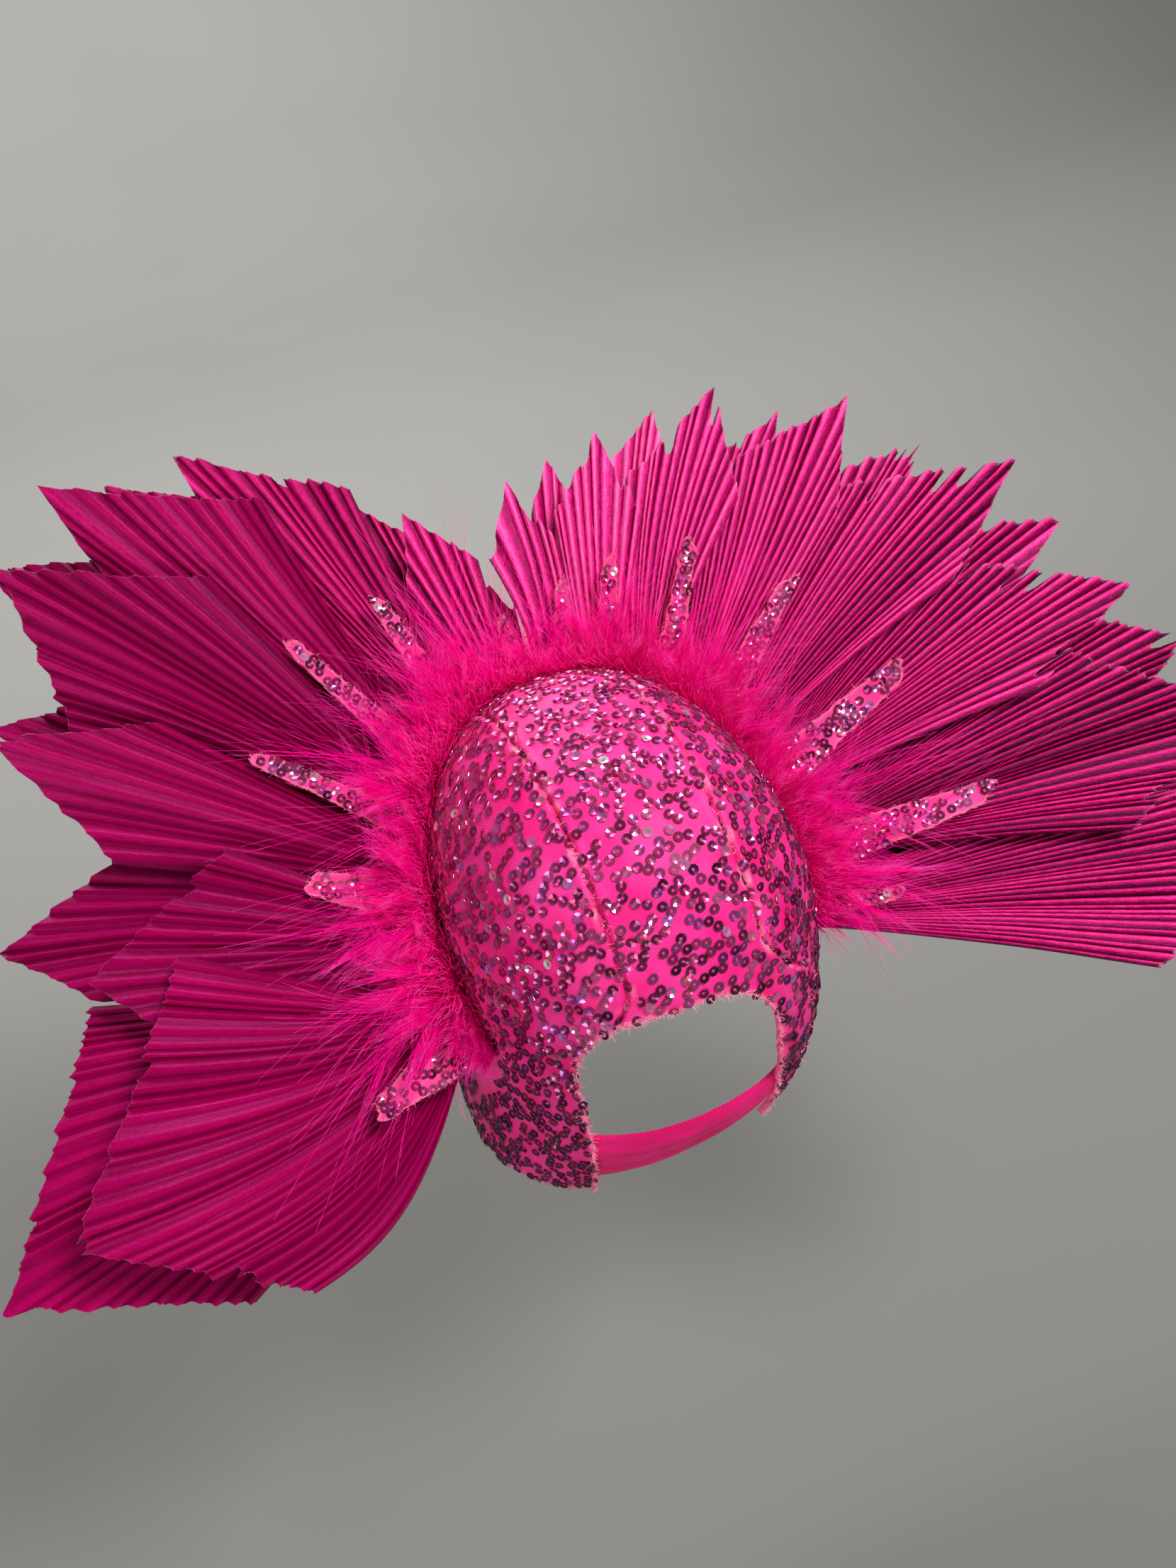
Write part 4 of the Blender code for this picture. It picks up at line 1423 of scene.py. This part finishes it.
@dataclass
class LeafFan:
    """Two rows of trimmed, dyed palm leaves."""

    fan: FanLine
    length: float = 200.0 * MM
    base_width: float = 14.0 * MM
    base_thickness: float = 2.2 * MM
    half_angle: float = math.radians(15.0)
    shoulder: float = 0.68
    twist: float = math.radians(9.0)
    row_clearance: float = 5.6 * MM
    row_flare: float = math.radians(9.0)
    thickness: float = 0.5 * MM
    pleat_pitch: float = 3.4 * MM
    broad_pitch: float = 5.2 * MM
    pleat_depth: float = 2.4 * MM
    pleat_place: float = 0.82
    fewest_pleats: int = 6
    jag: float = 2.2 * MM
    trim: float = 0.020
    torn_chance: float = 0.16
    torn_least: float = 0.03
    torn_most: float = 0.10
    warp: float = 2.2 * MM
    warp_size: float = 38.0 * MM
    bow: float = 0.018
    steps: int = 6
    rings: int = 16
    finish: Finish = field(default_factory=lambda: PalmLeaf("dyed_palm_leaf"))

    @property
    def half_depth(self) -> float:
        """Half of the depth that a leaf's twisted base takes up."""
        return (self.base_thickness * math.cos(self.twist) + self.base_width * math.sin(self.twist)) / 2.0

    @property
    def front_set_back(self) -> float:
        """Distance from the fan's line to the front row, which lies ahead of it."""
        return -2.0 * self.half_depth - self.row_clearance

    def reach(self, share: np.ndarray, cut: LeafCut) -> np.ndarray:
        """Work out how long a leaf is, with two straight cuts that meet at its point.

        Args:
            share: Places across it, as shares of its half angle from -1 to 1.
            cut: Its place and trim.

        Returns:
            The lengths.
        """
        half_angle = self.half_angle * cut.width
        spread = half_angle * np.where(share < cut.tip, 1.0 + cut.tip, 1.0 - cut.tip)
        turn = half_angle * np.abs(share - cut.tip)
        shoulder = self.shoulder * np.sin(spread)
        rise = (1.0 - self.shoulder * np.cos(spread)) * np.sin(turn)
        return self.length * cut.length * shoulder / (shoulder * np.cos(turn) + rise)

    def painted_light_tone(self, cut: LeafCut) -> float:
        """Painted light and shade on a whole leaf: lightest at the top, towards the wearer's right, and
        darker at the ends of the fan.
        """
        return 0.36 * math.exp(-(((cut.angle - 112.0) / 32.0) ** 2)) - 0.08

    def breadth(self, cut: LeafCut) -> float:
        """Tell from 0 to 1 how broad and round a leaf's pleats are: those on the wearer's left are older."""
        return 1.0 / (1.0 + math.exp((cut.angle - 72.0) / 7.0))

    def edge_width(self, cut: LeafCut) -> float:
        """Breadth of a leaf where its pleats are counted."""
        return 2.0 * (self.half_angle * cut.width) * self.length * cut.length * self.pleat_place

    def trimmed(self, pleats: Pleats, cut: LeafCut, rng: np.random.Generator) -> np.ndarray:
        """Work out where the leaf ends, with a tooth on each pleat and a few that are torn deeper.

        Args:
            pleats: The leaf's folds.
            cut: Its place and trim.
            rng: Source of the teeth's depths.

        Returns:
            The leaf's length along the ray of each point.
        """
        torn = rng.random(pleats.count) < self.torn_chance * (1.0 - 0.8 * pleats.broad)
        torn = np.where(torn, rng.uniform(self.torn_least, self.torn_most), 0.0)
        trim = rng.uniform(0.0, self.trim, pleats.count) + torn
        slant = self.jag * np.interp(pleats.part, (0.0, 0.667, 1.0), (1.0, 0.0, 1.0))
        notch = trim[pleats.number] * np.sin(math.pi * np.clip(pleats.part, 0.0, 1.0)) ** 0.5
        return self.reach(pleats.share, cut) * (1.0 - notch) - slant

    def spread(self, pleats: Pleats, reach: np.ndarray, cut: LeafCut,
               rng: np.random.Generator) -> tuple[np.ndarray, np.ndarray, np.ndarray]:
        """Lay the rays out from the narrow base, curve them a little, and fold and warp the leaf.

        Args:
            pleats: The leaf's folds.
            reach: Its length along the ray of each point.
            cut: Its place and trim.
            rng: Source of its curve and of the folds' depths.

        Returns:
            Each point's distances across, along and out of the leaf's stand.
        """
        share, ring = pleats.share, pleats.ring
        turn = share * (self.half_angle * cut.width)
        width = rng.uniform(1.05, 1.18)
        curve = rng.normal(0.0, 0.010) + 0.045 * max(0.0, cut.width - 1.2) * (1.0 + share)
        sweep = curve * self.length * np.sin(math.pi * ring)
        across = share * self.base_width / 2.0 + reach * np.sin(turn) * ring ** width + sweep
        along = self.fan.seat_gap + reach * np.cos(turn) * ring
        uneven = np.clip(1.0 + 0.30 * rng.normal(size=pleats.count)[pleats.number], 0.4, 1.7)
        depth = self.pleat_depth / 2.0 * (0.45 + 0.55 * ring) * uneven
        sheet = np.stack([share * self.edge_width(cut) / 2.0, reach * ring, share * 0.0], axis=1)
        warp = self.warp * ripple(sheet, self.warp_size, cut.angle) * ring
        bow = self.length * self.bow * ring ** 2 + warp
        return across, along, pleats.rise() * depth + bow

    def mark(self, leaf: bpy.types.Object, pleats: Pleats, reach: np.ndarray, cut: LeafCut,
             rng: np.random.Generator) -> None:
        """Store what the material reads: the leaf's own map, its folds' painted light and shade, its end,
        its age and its tone, which holds the leaf's painted light and shade.

        Args:
            leaf: The leaf, with its thickness.
            pleats: Its folds.
            reach: Its length along the ray of each point.
            cut: Its place and trim.
            rng: Source of its tone.
        """
        share, ring, broad = pleats.share, pleats.ring, pleats.broad
        layers = len(leaf.data.vertices) // len(share)
        set_uv(leaf, np.tile(share * self.edge_width(cut) / 2.0, layers), np.tile(ring * reach, layers))
        # The fold's brightness is painted highlight on the ridges and painted shade in the valleys.
        set_attribute(leaf, "fold", np.tile(pleats.light(), layers))
        set_attribute(leaf, "reach", np.tile(ring - 0.008 * broad, layers))
        set_attribute(leaf, "soft", np.full(len(leaf.data.vertices), broad))
        streaks = ripple(np.stack([share * 4.0, share * 0.0 + cut.angle, ring * 0.8], axis=1), 1.0)
        own = (rng.uniform(-0.11, 0.09) + 0.16 * streaks) * (1.0 - 0.6 * broad)
        # The tone adds the leaf's painted light and shade, and a little more painted shade on broad leaves,
        # to its random dye and streaks.
        set_attribute(leaf, "tone", np.tile(self.painted_light_tone(cut) + own - 0.02 * broad, layers))

    def leaf(self, name: str, cut: LeafCut, set_back: float, lean: float, material: bpy.types.Material,
             rng: np.random.Generator) -> bpy.types.Object:
        """Make one leaf from a grid: folds spread from a narrow base to a pointed, jagged end.

        Args:
            name: The name of the solid that it replaces.
            cut: Its place and trim.
            set_back: Distance of its row from the fan's line.
            lean: Lean of its row towards the nape.
            material: Its material.
            rng: Source of its unevenness.

        Returns:
            The leaf.
        """
        stand = Stand.on(self.fan, cut.angle, set_back, lean, cut.turn, self.twist)
        broad = self.breadth(cut)
        pitch = self.pleat_pitch + (self.broad_pitch - self.pleat_pitch) * broad
        count = max(self.fewest_pleats, round(self.edge_width(cut) / pitch))
        deselect_all()
        bpy.ops.mesh.primitive_grid_add(
            x_subdivisions=self.steps * count, y_subdivisions=self.rings, size=2.0)
        leaf = bpy.context.object
        leaf.name = leaf.data.name = "palm_" + name
        pleats = Pleats.on(points_of(leaf), count, broad, rng)
        reach = self.trimmed(pleats, cut, rng)
        set_points(leaf, stand.at(*self.spread(pleats, reach, cut, rng)))
        apply_modifier(leaf, "SOLIDIFY", thickness=self.thickness, offset=0.0)
        self.mark(leaf, pleats, reach, cut, rng)
        # Crisp pleats keep their hard ridges, and broad ones are shaded round.
        smooth(leaf, 32.0 + 30.0 * broad)
        return settle(leaf, material, Slot.LEAF, name)

    def build(self) -> None:
        """Make both rows."""
        material = self.finish.build()
        rng = np.random.default_rng(21)
        for number, cut in enumerate(REAR_LEAVES, 1):
            self.leaf(f"leaf_rear_{number:02d}", cut, 0.0, self.row_flare, material, rng)
        for number, cut in enumerate(FRONT_LEAVES, 1):
            self.leaf(f"leaf_front_{number:02d}", cut, self.front_set_back, 0.0, material, rng)


@dataclass(frozen=True)
class TabCut:
    """How one tab is placed and cut: its angle in degrees, and shares of the tabs' length and widths."""

    angle: float
    length: float
    width: float


TABS = tuple(TabCut(*row) for row in (
    (-17, 0.66, 1.00), (26, 0.66, 1.00), (44, 1.00, 0.60), (60, 1.08, 0.60), (73, 0.90, 0.60),
    (90, 0.45, 0.50), (102, 0.60, 0.55), (111, 0.78, 0.60), (124, 0.98, 0.65), (140, 1.12, 0.70),
    (162, 1.18, 1.00), (185, 1.28, 1.00), (199, 0.60, 0.55)))


@dataclass
class ClothTabs:
    """Tapered strips, cut by hand from the sequinned cloth, which stand between the leaves and the fur."""

    fan: FanLine
    leaves: LeafFan
    length: float = 80.0 * MM
    base_width: float = 21.0 * MM
    tip_width: float = 9.0 * MM
    thickness: float = 1.2 * MM
    clearance: float = 3.7 * MM
    flare: float = math.radians(4.0)
    sequin_cover: float = 0.80
    sequin_margin: float = 1.0 * MM
    steps: int = 8
    rings: int = 44
    finish: Finish = field(
        default_factory=lambda: SatinTwill("cut_twill", light="#FF4A9E", deep="#FA2080"))

    @property
    def set_back(self) -> float:
        """Distance from the fan's line to the tabs."""
        return self.leaves.half_depth + self.clearance + self.thickness / 2.0

    def build(self, film: bpy.types.Material) -> None:
        """Make every tab and its sequins.

        Args:
            film: The sequins' material.
        """
        material = self.finish.build()
        rng = np.random.default_rng(31)
        maker = Sequins(pitch=3.9 * MM, clear=2.9 * MM)
        fray = Fray(each=4, shortest=0.5 * MM, longest=2.2 * MM)
        places, normals, lines = [], [], []
        for number, cut in enumerate(TABS, 1):
            strip, cloth = self.tab(f"tab_{number:02d}", cut, material, rng)
            hold = random.Random(60 + number)
            goal = round(self.sequin_cover * sum(cloth.areas) / maker.pitch ** 2)
            spots, facing = maker.chains(cloth, lambda place: 1.0, goal, hold, self.sequin_margin)
            places.append(spots)
            normals.append(facing)
            lines.extend(fray.edges(cloth, rng))
            LOG.info("%s: %d sequins", strip.name, len(spots))
        settle(fray.build("loose_tab_threads", lines, rng), material, Slot.TAB)
        rows = np.concatenate(places)
        # The tabs' rings get no painted shade.
        veil, painted_shade = np.full(len(rows), 0.15), np.zeros(len(rows))
        piece = maker.build("sequins_tabs", rows, np.concatenate(normals), veil, painted_shade, rng)
        settle(piece, film, Slot.SEQUIN)

    def half_width(self, share: np.ndarray, cut: TabCut) -> np.ndarray:
        """Half of a tab's width at shares of its length."""
        return (self.base_width + (self.tip_width - self.base_width) * share) * cut.width / 2.0

    def tab(self, name: str, cut: TabCut, material: bpy.types.Material,
            rng: np.random.Generator) -> tuple[bpy.types.Object, Surface]:
        """Args:
            name: The name of the solid that it replaces.
            cut: Its place and size.
            material: Its material.
            rng: Source of its unevenness.

        Returns:
            The strip, and its rear face for the sequins.
        """
        stand = Stand.on(self.fan, cut.angle, self.set_back, self.leaves.row_flare + self.flare)
        length = self.length * cut.length
        deselect_all()
        bpy.ops.mesh.primitive_grid_add(x_subdivisions=self.steps, y_subdivisions=self.rings, size=2.0)
        strip = bpy.context.object
        strip.name = strip.data.name = "cloth_" + name
        flat = points_of(strip)
        side, share = flat[:, 0], (flat[:, 1] + 1.0) / 2.0
        offset = rng.uniform(0.0, 50.0)
        lengthwise = np.stack([np.sign(side) * 3.0, share * length / (5.0 * MM), side * 0.0], axis=1)
        rough = 0.9 * ripple(lengthwise, 1.0, offset) + 0.45 * ripple(lengthwise * 3.0, 1.0, offset)
        half = self.half_width(share, cut) + MM * rough * np.abs(side)
        blunt = np.sqrt(np.clip(1.0 - (np.clip(share - 0.955, 0.0, 1.0) / 0.055) ** 2, 0.40, 1.0))
        bent = 1.4 * MM * np.sin(share * 2.2 + offset) * share
        wave = 0.7 * MM * np.sin(share * 6.0 + offset) * share + 0.25 * MM * rough * np.abs(side)
        curl = rng.uniform(0.4, 1.3) * MM * side ** 2 * np.clip(share * 1.5, 0.0, 1.0)
        ragged = np.abs(ripple(np.stack([side * 4.0, side, side], axis=1), 1.0, offset))
        skewed = rng.uniform(0.0, 0.05) * (1.0 + side * rng.choice((-1.0, 1.0))) * share ** 4
        along = self.fan.seat_gap + share * length * (1.0 - 0.05 * ragged - skewed)
        set_points(strip, stand.at(side * half * blunt + bent, along, wave + curl))
        cloth = Surface(strip, stand.face * self.thickness / 2.0)
        apply_modifier(strip, "SOLIDIFY", thickness=self.thickness, offset=0.0)
        layers = len(strip.data.vertices) // len(flat)
        set_uv(strip, np.tile(side * half, layers), np.tile(share * length, layers))
        rim = np.maximum(np.abs(side), share * self.rings - self.rings + 1.0) > 0.99
        set_attribute(strip, "edge", np.tile(np.where(rim, 0.35, 0.0), layers))
        smooth(strip, 50.0)
        settle(strip, material, Slot.TAB, name)
        return strip, cloth


@dataclass(frozen=True)
class Hairs:
    """One layer of the fur: its hairs, the locks that they lie in, and how they stand.

    Leans are in radians. The sway along the strip is a slope, and the bend a share of a hair's length.
    """

    hairs: int
    locks: int
    joints: int
    width: float
    tip_width: float
    shortest: float
    longest: float
    lean: float
    lean_spread: float
    sway: float
    bend: float

    def ribbons(self) -> Ribbons:
        """Strips of this layer's widths."""
        return Ribbons(self.joints, self.width, self.tip_width)

    def lines(self, root: np.ndarray, run: np.ndarray, length: np.ndarray, bend: np.ndarray) -> np.ndarray:
        """Bent lines from roots, for each hair by joints by x, y and z."""
        share = np.linspace(0.0, 1.0, self.joints)[None, :, None]
        return root[:, None] + (run * length[:, None])[:, None] * share + bend[:, None] * share ** 2


@dataclass
class FurStrip:
    """Long-haired strip over the leaves' feet: a thick coat of clumped hair with long wisps above it."""

    fan: FanLine
    tabs: ClothTabs
    clearance: float = 2.4 * MM
    width: float = 13.0 * MM
    backing: float = 2.0 * MM
    coat: Hairs = Hairs(hairs=19000, locks=620, joints=6, width=0.34 * MM, tip_width=0.05 * MM,
                        shortest=24.0 * MM, longest=44.0 * MM, lean=0.30, lean_spread=0.20, sway=0.28,
                        bend=0.46)
    down: Hairs = Hairs(hairs=15000, locks=15000, joints=4, width=0.75 * MM, tip_width=0.14 * MM,
                        shortest=12.0 * MM, longest=27.0 * MM, lean=0.10, lean_spread=0.25, sway=0.35,
                        bend=0.16)
    wisps: Hairs = Hairs(hairs=3000, locks=260, joints=9, width=0.30 * MM, tip_width=0.07 * MM,
                         shortest=36.0 * MM, longest=66.0 * MM, lean=0.30, lean_spread=0.24, sway=0.40,
                         bend=0.52)
    sag: float = 0.10
    clump_radius: float = 2.6 * MM
    line_radius: float = 85.0 * MM
    gather: float = 0.75
    stray: float = 1.1 * MM
    wisp_angle: float = 0.022
    wisp_spread: float = 0.07
    steps: int = 120
    rows: int = 6
    finish: Finish = field(default_factory=lambda: FurPile("dyed_fur_pile"))

    @property
    def set_back(self) -> float:
        """Distance from the fan's line to the near edge of the strip."""
        return self.tabs.set_back + self.tabs.thickness / 2.0 + self.clearance

    def fullness(self, angle: np.ndarray) -> np.ndarray:
        """Share of the hairs' full length at angles round the fan: it is worn short behind the left ear."""
        worn = np.interp(np.degrees(angle), (-25.0, -18.0, -8.0, 195.0, 205.0), (0.25, 0.35, 1.0, 1.0, 0.7))
        return worn * (1.0 + 0.20 * np.sin(6.0 * angle + 1.0) + 0.16 * np.sin(13.0 * angle + 2.0))

    def directions(self, angle: np.ndarray, lean: np.ndarray, sway: np.ndarray) -> np.ndarray:
        """Work out the ways that hairs leave the strip.

        Args:
            angle: Their angles round the fan, in radians.
            lean: Their leans towards the nape, in radians.
            sway: How far they point along the strip, as a slope.

        Returns:
            A direction for each hair.
        """
        outward = self.fan.outward(angle)
        side = np.cross(outward, self.fan.back)
        upright = outward * np.cos(lean)[:, None] + self.fan.back * np.sin(lean)[:, None]
        return unit(upright + side * sway[:, None])

    def coat_lines(self, rng: np.random.Generator) -> np.ndarray:
        """Draw the clumped hairs, which gather towards the middle of their lock.

        Args:
            rng: Source of the locks and of each hair's place in them.

        Returns:
            The lines, for each hair by joints by x, y and z.
        """
        layer, start, end = self.coat, self.fan.end, self.fan.end + self.fan.span
        angle = start + self.fan.span * rng.random(layer.locks)
        row = rng.random(layer.locks)
        lean = rng.normal(layer.lean, layer.lean_spread, layer.locks) + 0.45 * row ** 2
        run = self.directions(angle, lean, rng.normal(0.0, layer.sway, layer.locks))
        length = rng.uniform(layer.shortest, layer.longest, layer.locks) * self.fullness(angle)
        length = length * (1.0 - 0.35 * row)
        bend = rng.uniform(-layer.bend, layer.bend, (layer.locks, 3)) * length[:, None]
        bend[:, 2] -= self.sag * length
        lock = rng.integers(0, layer.locks, layer.hairs)
        offset = rng.normal(size=(layer.hairs, 2)) * self.clump_radius
        hair_angle = np.clip(angle[lock] + offset[:, 0] / self.line_radius, start, end)
        hair_back = np.clip(row[lock] * self.width + offset[:, 1], 0.0, self.width)
        root = self.fan.seat(hair_angle, self.set_back + hair_back)
        centre = self.fan.seat(angle, self.set_back + row * self.width)
        share = rng.uniform(0.55, 1.15, layer.hairs)
        lines = layer.lines(root, run[lock], length[lock] * share, bend[lock] * share[:, None])
        along = np.linspace(0.0, 1.0, layer.joints)[None, :, None]
        gather = (centre[lock] - root)[:, None] * along * self.gather
        pace = rng.uniform(3.0, 8.0, layer.hairs)
        shift = rng.uniform(0.0, 2.0 * math.pi, layer.hairs)
        wave = np.sin(along * pace[:, None, None] + shift[:, None, None])
        return lines + gather + rng.normal(size=(layer.hairs, 3))[:, None] * wave * along * self.stray

    def down_lines(self, rng: np.random.Generator) -> np.ndarray:
        """Draw the short hairs, which fill the coat and roll over its edges, most of all the far one.

        Args:
            rng: Source of each hair's place and shape.

        Returns:
            The lines, for each hair by joints by x, y and z.
        """
        layer = self.down
        angle = self.fan.end + self.fan.span * rng.random(layer.hairs)
        row = rng.random(layer.hairs) ** 0.5
        lean = layer.lean + 1.35 * row ** 2 + rng.normal(0.0, layer.lean_spread, layer.hairs)
        run = self.directions(angle, lean, rng.normal(0.0, layer.sway, layer.hairs))
        length = rng.uniform(layer.shortest, layer.longest, layer.hairs) * self.fullness(angle)
        length = length * (1.0 - 0.45 * row)
        bend = rng.normal(size=(layer.hairs, 3)) * (layer.bend * length)[:, None]
        return layer.lines(self.fan.seat(angle, self.set_back + row * self.width), run, length, bend)

    def wisp_lines(self, rng: np.random.Generator) -> np.ndarray:
        """Draw the long hairs, which lie in thin curling wisps over the leaves and tabs.

        Args:
            rng: Source of the wisps and of each hair's place in them.

        Returns:
            The lines, for each hair by joints by x, y and z.
        """
        layer, start, end = self.wisps, self.fan.end, self.fan.end + self.fan.span
        angle = start + self.fan.span * rng.random(layer.locks)
        lean = rng.normal(layer.lean, layer.lean_spread, layer.locks)
        run = self.directions(angle, lean, rng.normal(0.0, layer.sway, layer.locks))
        length = rng.uniform(layer.shortest, layer.longest, layer.locks) * self.fullness(angle)
        bend = rng.uniform(-layer.bend, layer.bend, (layer.locks, 3)) * length[:, None]
        bend[:, 2] -= self.sag * length
        wisp = rng.integers(0, layer.locks, layer.hairs)
        hair_angle = np.clip(angle[wisp] + rng.normal(0.0, self.wisp_angle, layer.hairs), start, end)
        root = self.fan.seat(hair_angle, self.set_back + self.width * rng.random(layer.hairs))
        share = rng.uniform(0.55, 1.1, layer.hairs)
        spread = rng.normal(size=(layer.hairs, 3)) * (self.wisp_spread * length[wisp])[:, None]
        return layer.lines(root, run[wisp], length[wisp] * share, bend[wisp] * share[:, None] + spread)

    def build(self) -> None:
        """Make the coat, the down under it, the long hairs and the backing that they stand on."""
        material = self.finish.build()
        rng = np.random.default_rng(41)
        coat = self.coat.ribbons().build("fur_coat", self.coat_lines(rng), self.fan.back, rng)
        settle(coat, material, Slot.FUR, "fur_trim")
        down = self.down.ribbons().build("fur_down", self.down_lines(rng), self.fan.back, rng)
        settle(down, material, Slot.FUR)
        wisps = self.wisps.ribbons().build("fur_long_hairs", self.wisp_lines(rng), self.fan.back, rng)
        settle(wisps, material, Slot.FUR)
        self.strip(material)

    def strip(self, material: bpy.types.Material) -> None:
        """Make the woven backing that the hair grows from.

        Args:
            material: The fur's material.
        """
        deselect_all()
        bpy.ops.mesh.primitive_grid_add(x_subdivisions=self.steps, y_subdivisions=self.rows, size=1.0)
        backing = bpy.context.object
        backing.name = backing.data.name = "fur_backing"
        flat = points_of(backing)
        angle = self.fan.end + self.fan.span * (flat[:, 0] + 0.5)
        set_back = self.set_back + self.width * (flat[:, 1] + 0.5)
        lift = self.fan.outward(angle) * (self.fan.seat_gap + self.backing)
        set_points(backing, self.fan.seat(angle, set_back) + lift)
        apply_modifier(backing, "SOLIDIFY", thickness=self.backing, offset=0.0)
        smooth(backing)
        settle(backing, material, Slot.FUR)


@dataclass(frozen=True)
class PhotoView:
    """The photograph's view: from behind and above, on the wearer's left."""

    image_width: float = 1659.0
    image_height: float = 2212.0
    focal_px: float = 1800.0
    origin_px: tuple[float, float] = (872.0, 1290.0)
    distance: float = 0.56
    bearing: float = math.radians(16.0)
    elevation: float = math.radians(33.0)
    roll: float = math.radians(-12.0)
    sensor: float = 36.0
    nearest: float = 10.0 * MM

    def build(self) -> None:
        """Make the camera."""
        level = Vector((-math.sin(self.bearing), -math.cos(self.bearing), 0.0))
        sight = level * math.cos(self.elevation) - Vector((0.0, 0.0, math.sin(self.elevation)))
        right = sight.cross(Vector((0.0, 0.0, 1.0))).normalized()
        up = right.cross(sight)
        turned_right = right * math.cos(self.roll) + up * math.sin(self.roll)
        turned_up = up * math.cos(self.roll) - right * math.sin(self.roll)
        across = (self.origin_px[0] - self.image_width / 2.0) / self.focal_px
        above = -(self.origin_px[1] - self.image_height / 2.0) / self.focal_px
        place = -(sight + turned_right * across + turned_up * above) * self.distance
        data = bpy.data.cameras.new("photo_view")
        data.sensor_width = self.sensor
        data.lens = self.focal_px * self.sensor / self.image_height
        data.clip_start = self.nearest
        camera = bpy.data.objects.new("photo_view", data)
        bpy.context.scene.collection.objects.link(camera)
        turn = Matrix((turned_right, turned_up, -sight)).transposed()
        camera.matrix_world = Matrix.Translation(place) @ turn.to_4x4()
        bpy.context.scene.camera = camera


@dataclass(frozen=True)
class SoftLight:
    """One square soft light: the length of its sides, its power in watts and the point that it faces."""

    name: str
    place: tuple[float, float, float]
    size: float
    power: float
    aim: tuple[float, float, float] = (0.0, 0.0, 0.0)

    def build(self) -> None:
        """Hang the light."""
        data = bpy.data.lights.new(self.name, "AREA")
        data.size = self.size
        data.energy = self.power
        lamp = bpy.data.objects.new(self.name, data)
        bpy.context.scene.collection.objects.link(lamp)
        lamp.location = self.place
        run = Vector(self.aim) - Vector(self.place)
        lamp.rotation_euler = run.to_track_quat("-Z", "Y").to_euler()


@dataclass(frozen=True)
class Studio:
    """Grey seamless paper under soft lights."""

    floor_height: float = -0.42
    width: float = 16.0
    front: float = 7.0
    wall: float = -3.2
    sweep: float = 2.0
    height: float = 7.0
    steps: int = 60
    glow: float = 0.33
    glow_colour: str = "#CFCFCC"
    lights: tuple[SoftLight, ...] = (
        SoftLight("key_light", (-0.70, 0.95, 1.50), 0.55, 38.0),
        SoftLight("fill_light", (1.35, 1.35, 0.15), 1.1, 15.5),
        SoftLight("front_light", (-0.3, -1.5, 1.3), 1.0, 16.0),
        SoftLight("paper_light", (0.0, -1.6, 3.4), 2.5, 430.0, (0.0, -5.2, 1.4)))

    def paper(self) -> None:
        """Lay one long sheet on the floor and sweep it up the wall."""
        deselect_all()
        bpy.ops.mesh.primitive_grid_add(x_subdivisions=2, y_subdivisions=self.steps, size=2.0)
        paper = bpy.context.object
        paper.name = paper.data.name = "backdrop"
        flat = points_of(paper)
        arc = self.sweep * math.pi / 2.0
        floor = self.front - self.wall
        run = (1.0 - flat[:, 1]) / 2.0 * (floor + arc + self.height)
        turn = np.clip((run - floor) / self.sweep, 0.0, math.pi / 2.0)
        y = self.front - np.minimum(run, floor) - self.sweep * np.sin(turn)
        z = self.floor_height + self.sweep * (1.0 - np.cos(turn)) + np.maximum(run - floor - arc, 0.0)
        set_points(paper, np.stack([flat[:, 0] * self.width / 2.0, y, z], axis=1))
        smooth(paper)
        paper.data.materials.append(Paper("seamless_paper").build())

    def build(self) -> None:
        """Lay the paper, hang the lights and set the glow all round."""
        self.paper()
        for light in self.lights:
            light.build()
        world = bpy.data.worlds.new("soft_glow")
        bpy.context.scene.world = world
        world.use_nodes = True
        glow = world.node_tree.nodes["Background"]
        glow.inputs["Color"].default_value = linear(self.glow_colour)
        glow.inputs["Strength"].default_value = self.glow
        bpy.context.scene.view_settings.view_transform = "Standard"


def main() -> None:
    """Build the headpiece, the camera and the studio."""
    logging.basicConfig(level=logging.INFO, format="%(message)s")
    PhotoView().build()
    head = HeadForm()
    fan = FanLine(head)
    cap = CapCloth(head, fan)
    piece, cloth = cap.build()
    film = SequinFilm("stamped_film").build()
    cap.sequins(cloth, film)
    cap.threads(cloth, piece.data.materials[0])
    NapeStrap(head, cap).build()
    leaves = LeafFan(fan)
    leaves.build()
    tabs = ClothTabs(fan, leaves)
    tabs.build(film)
    FurStrip(fan, tabs).build()
    Studio().build()


if __name__ == "__main__":
    main()
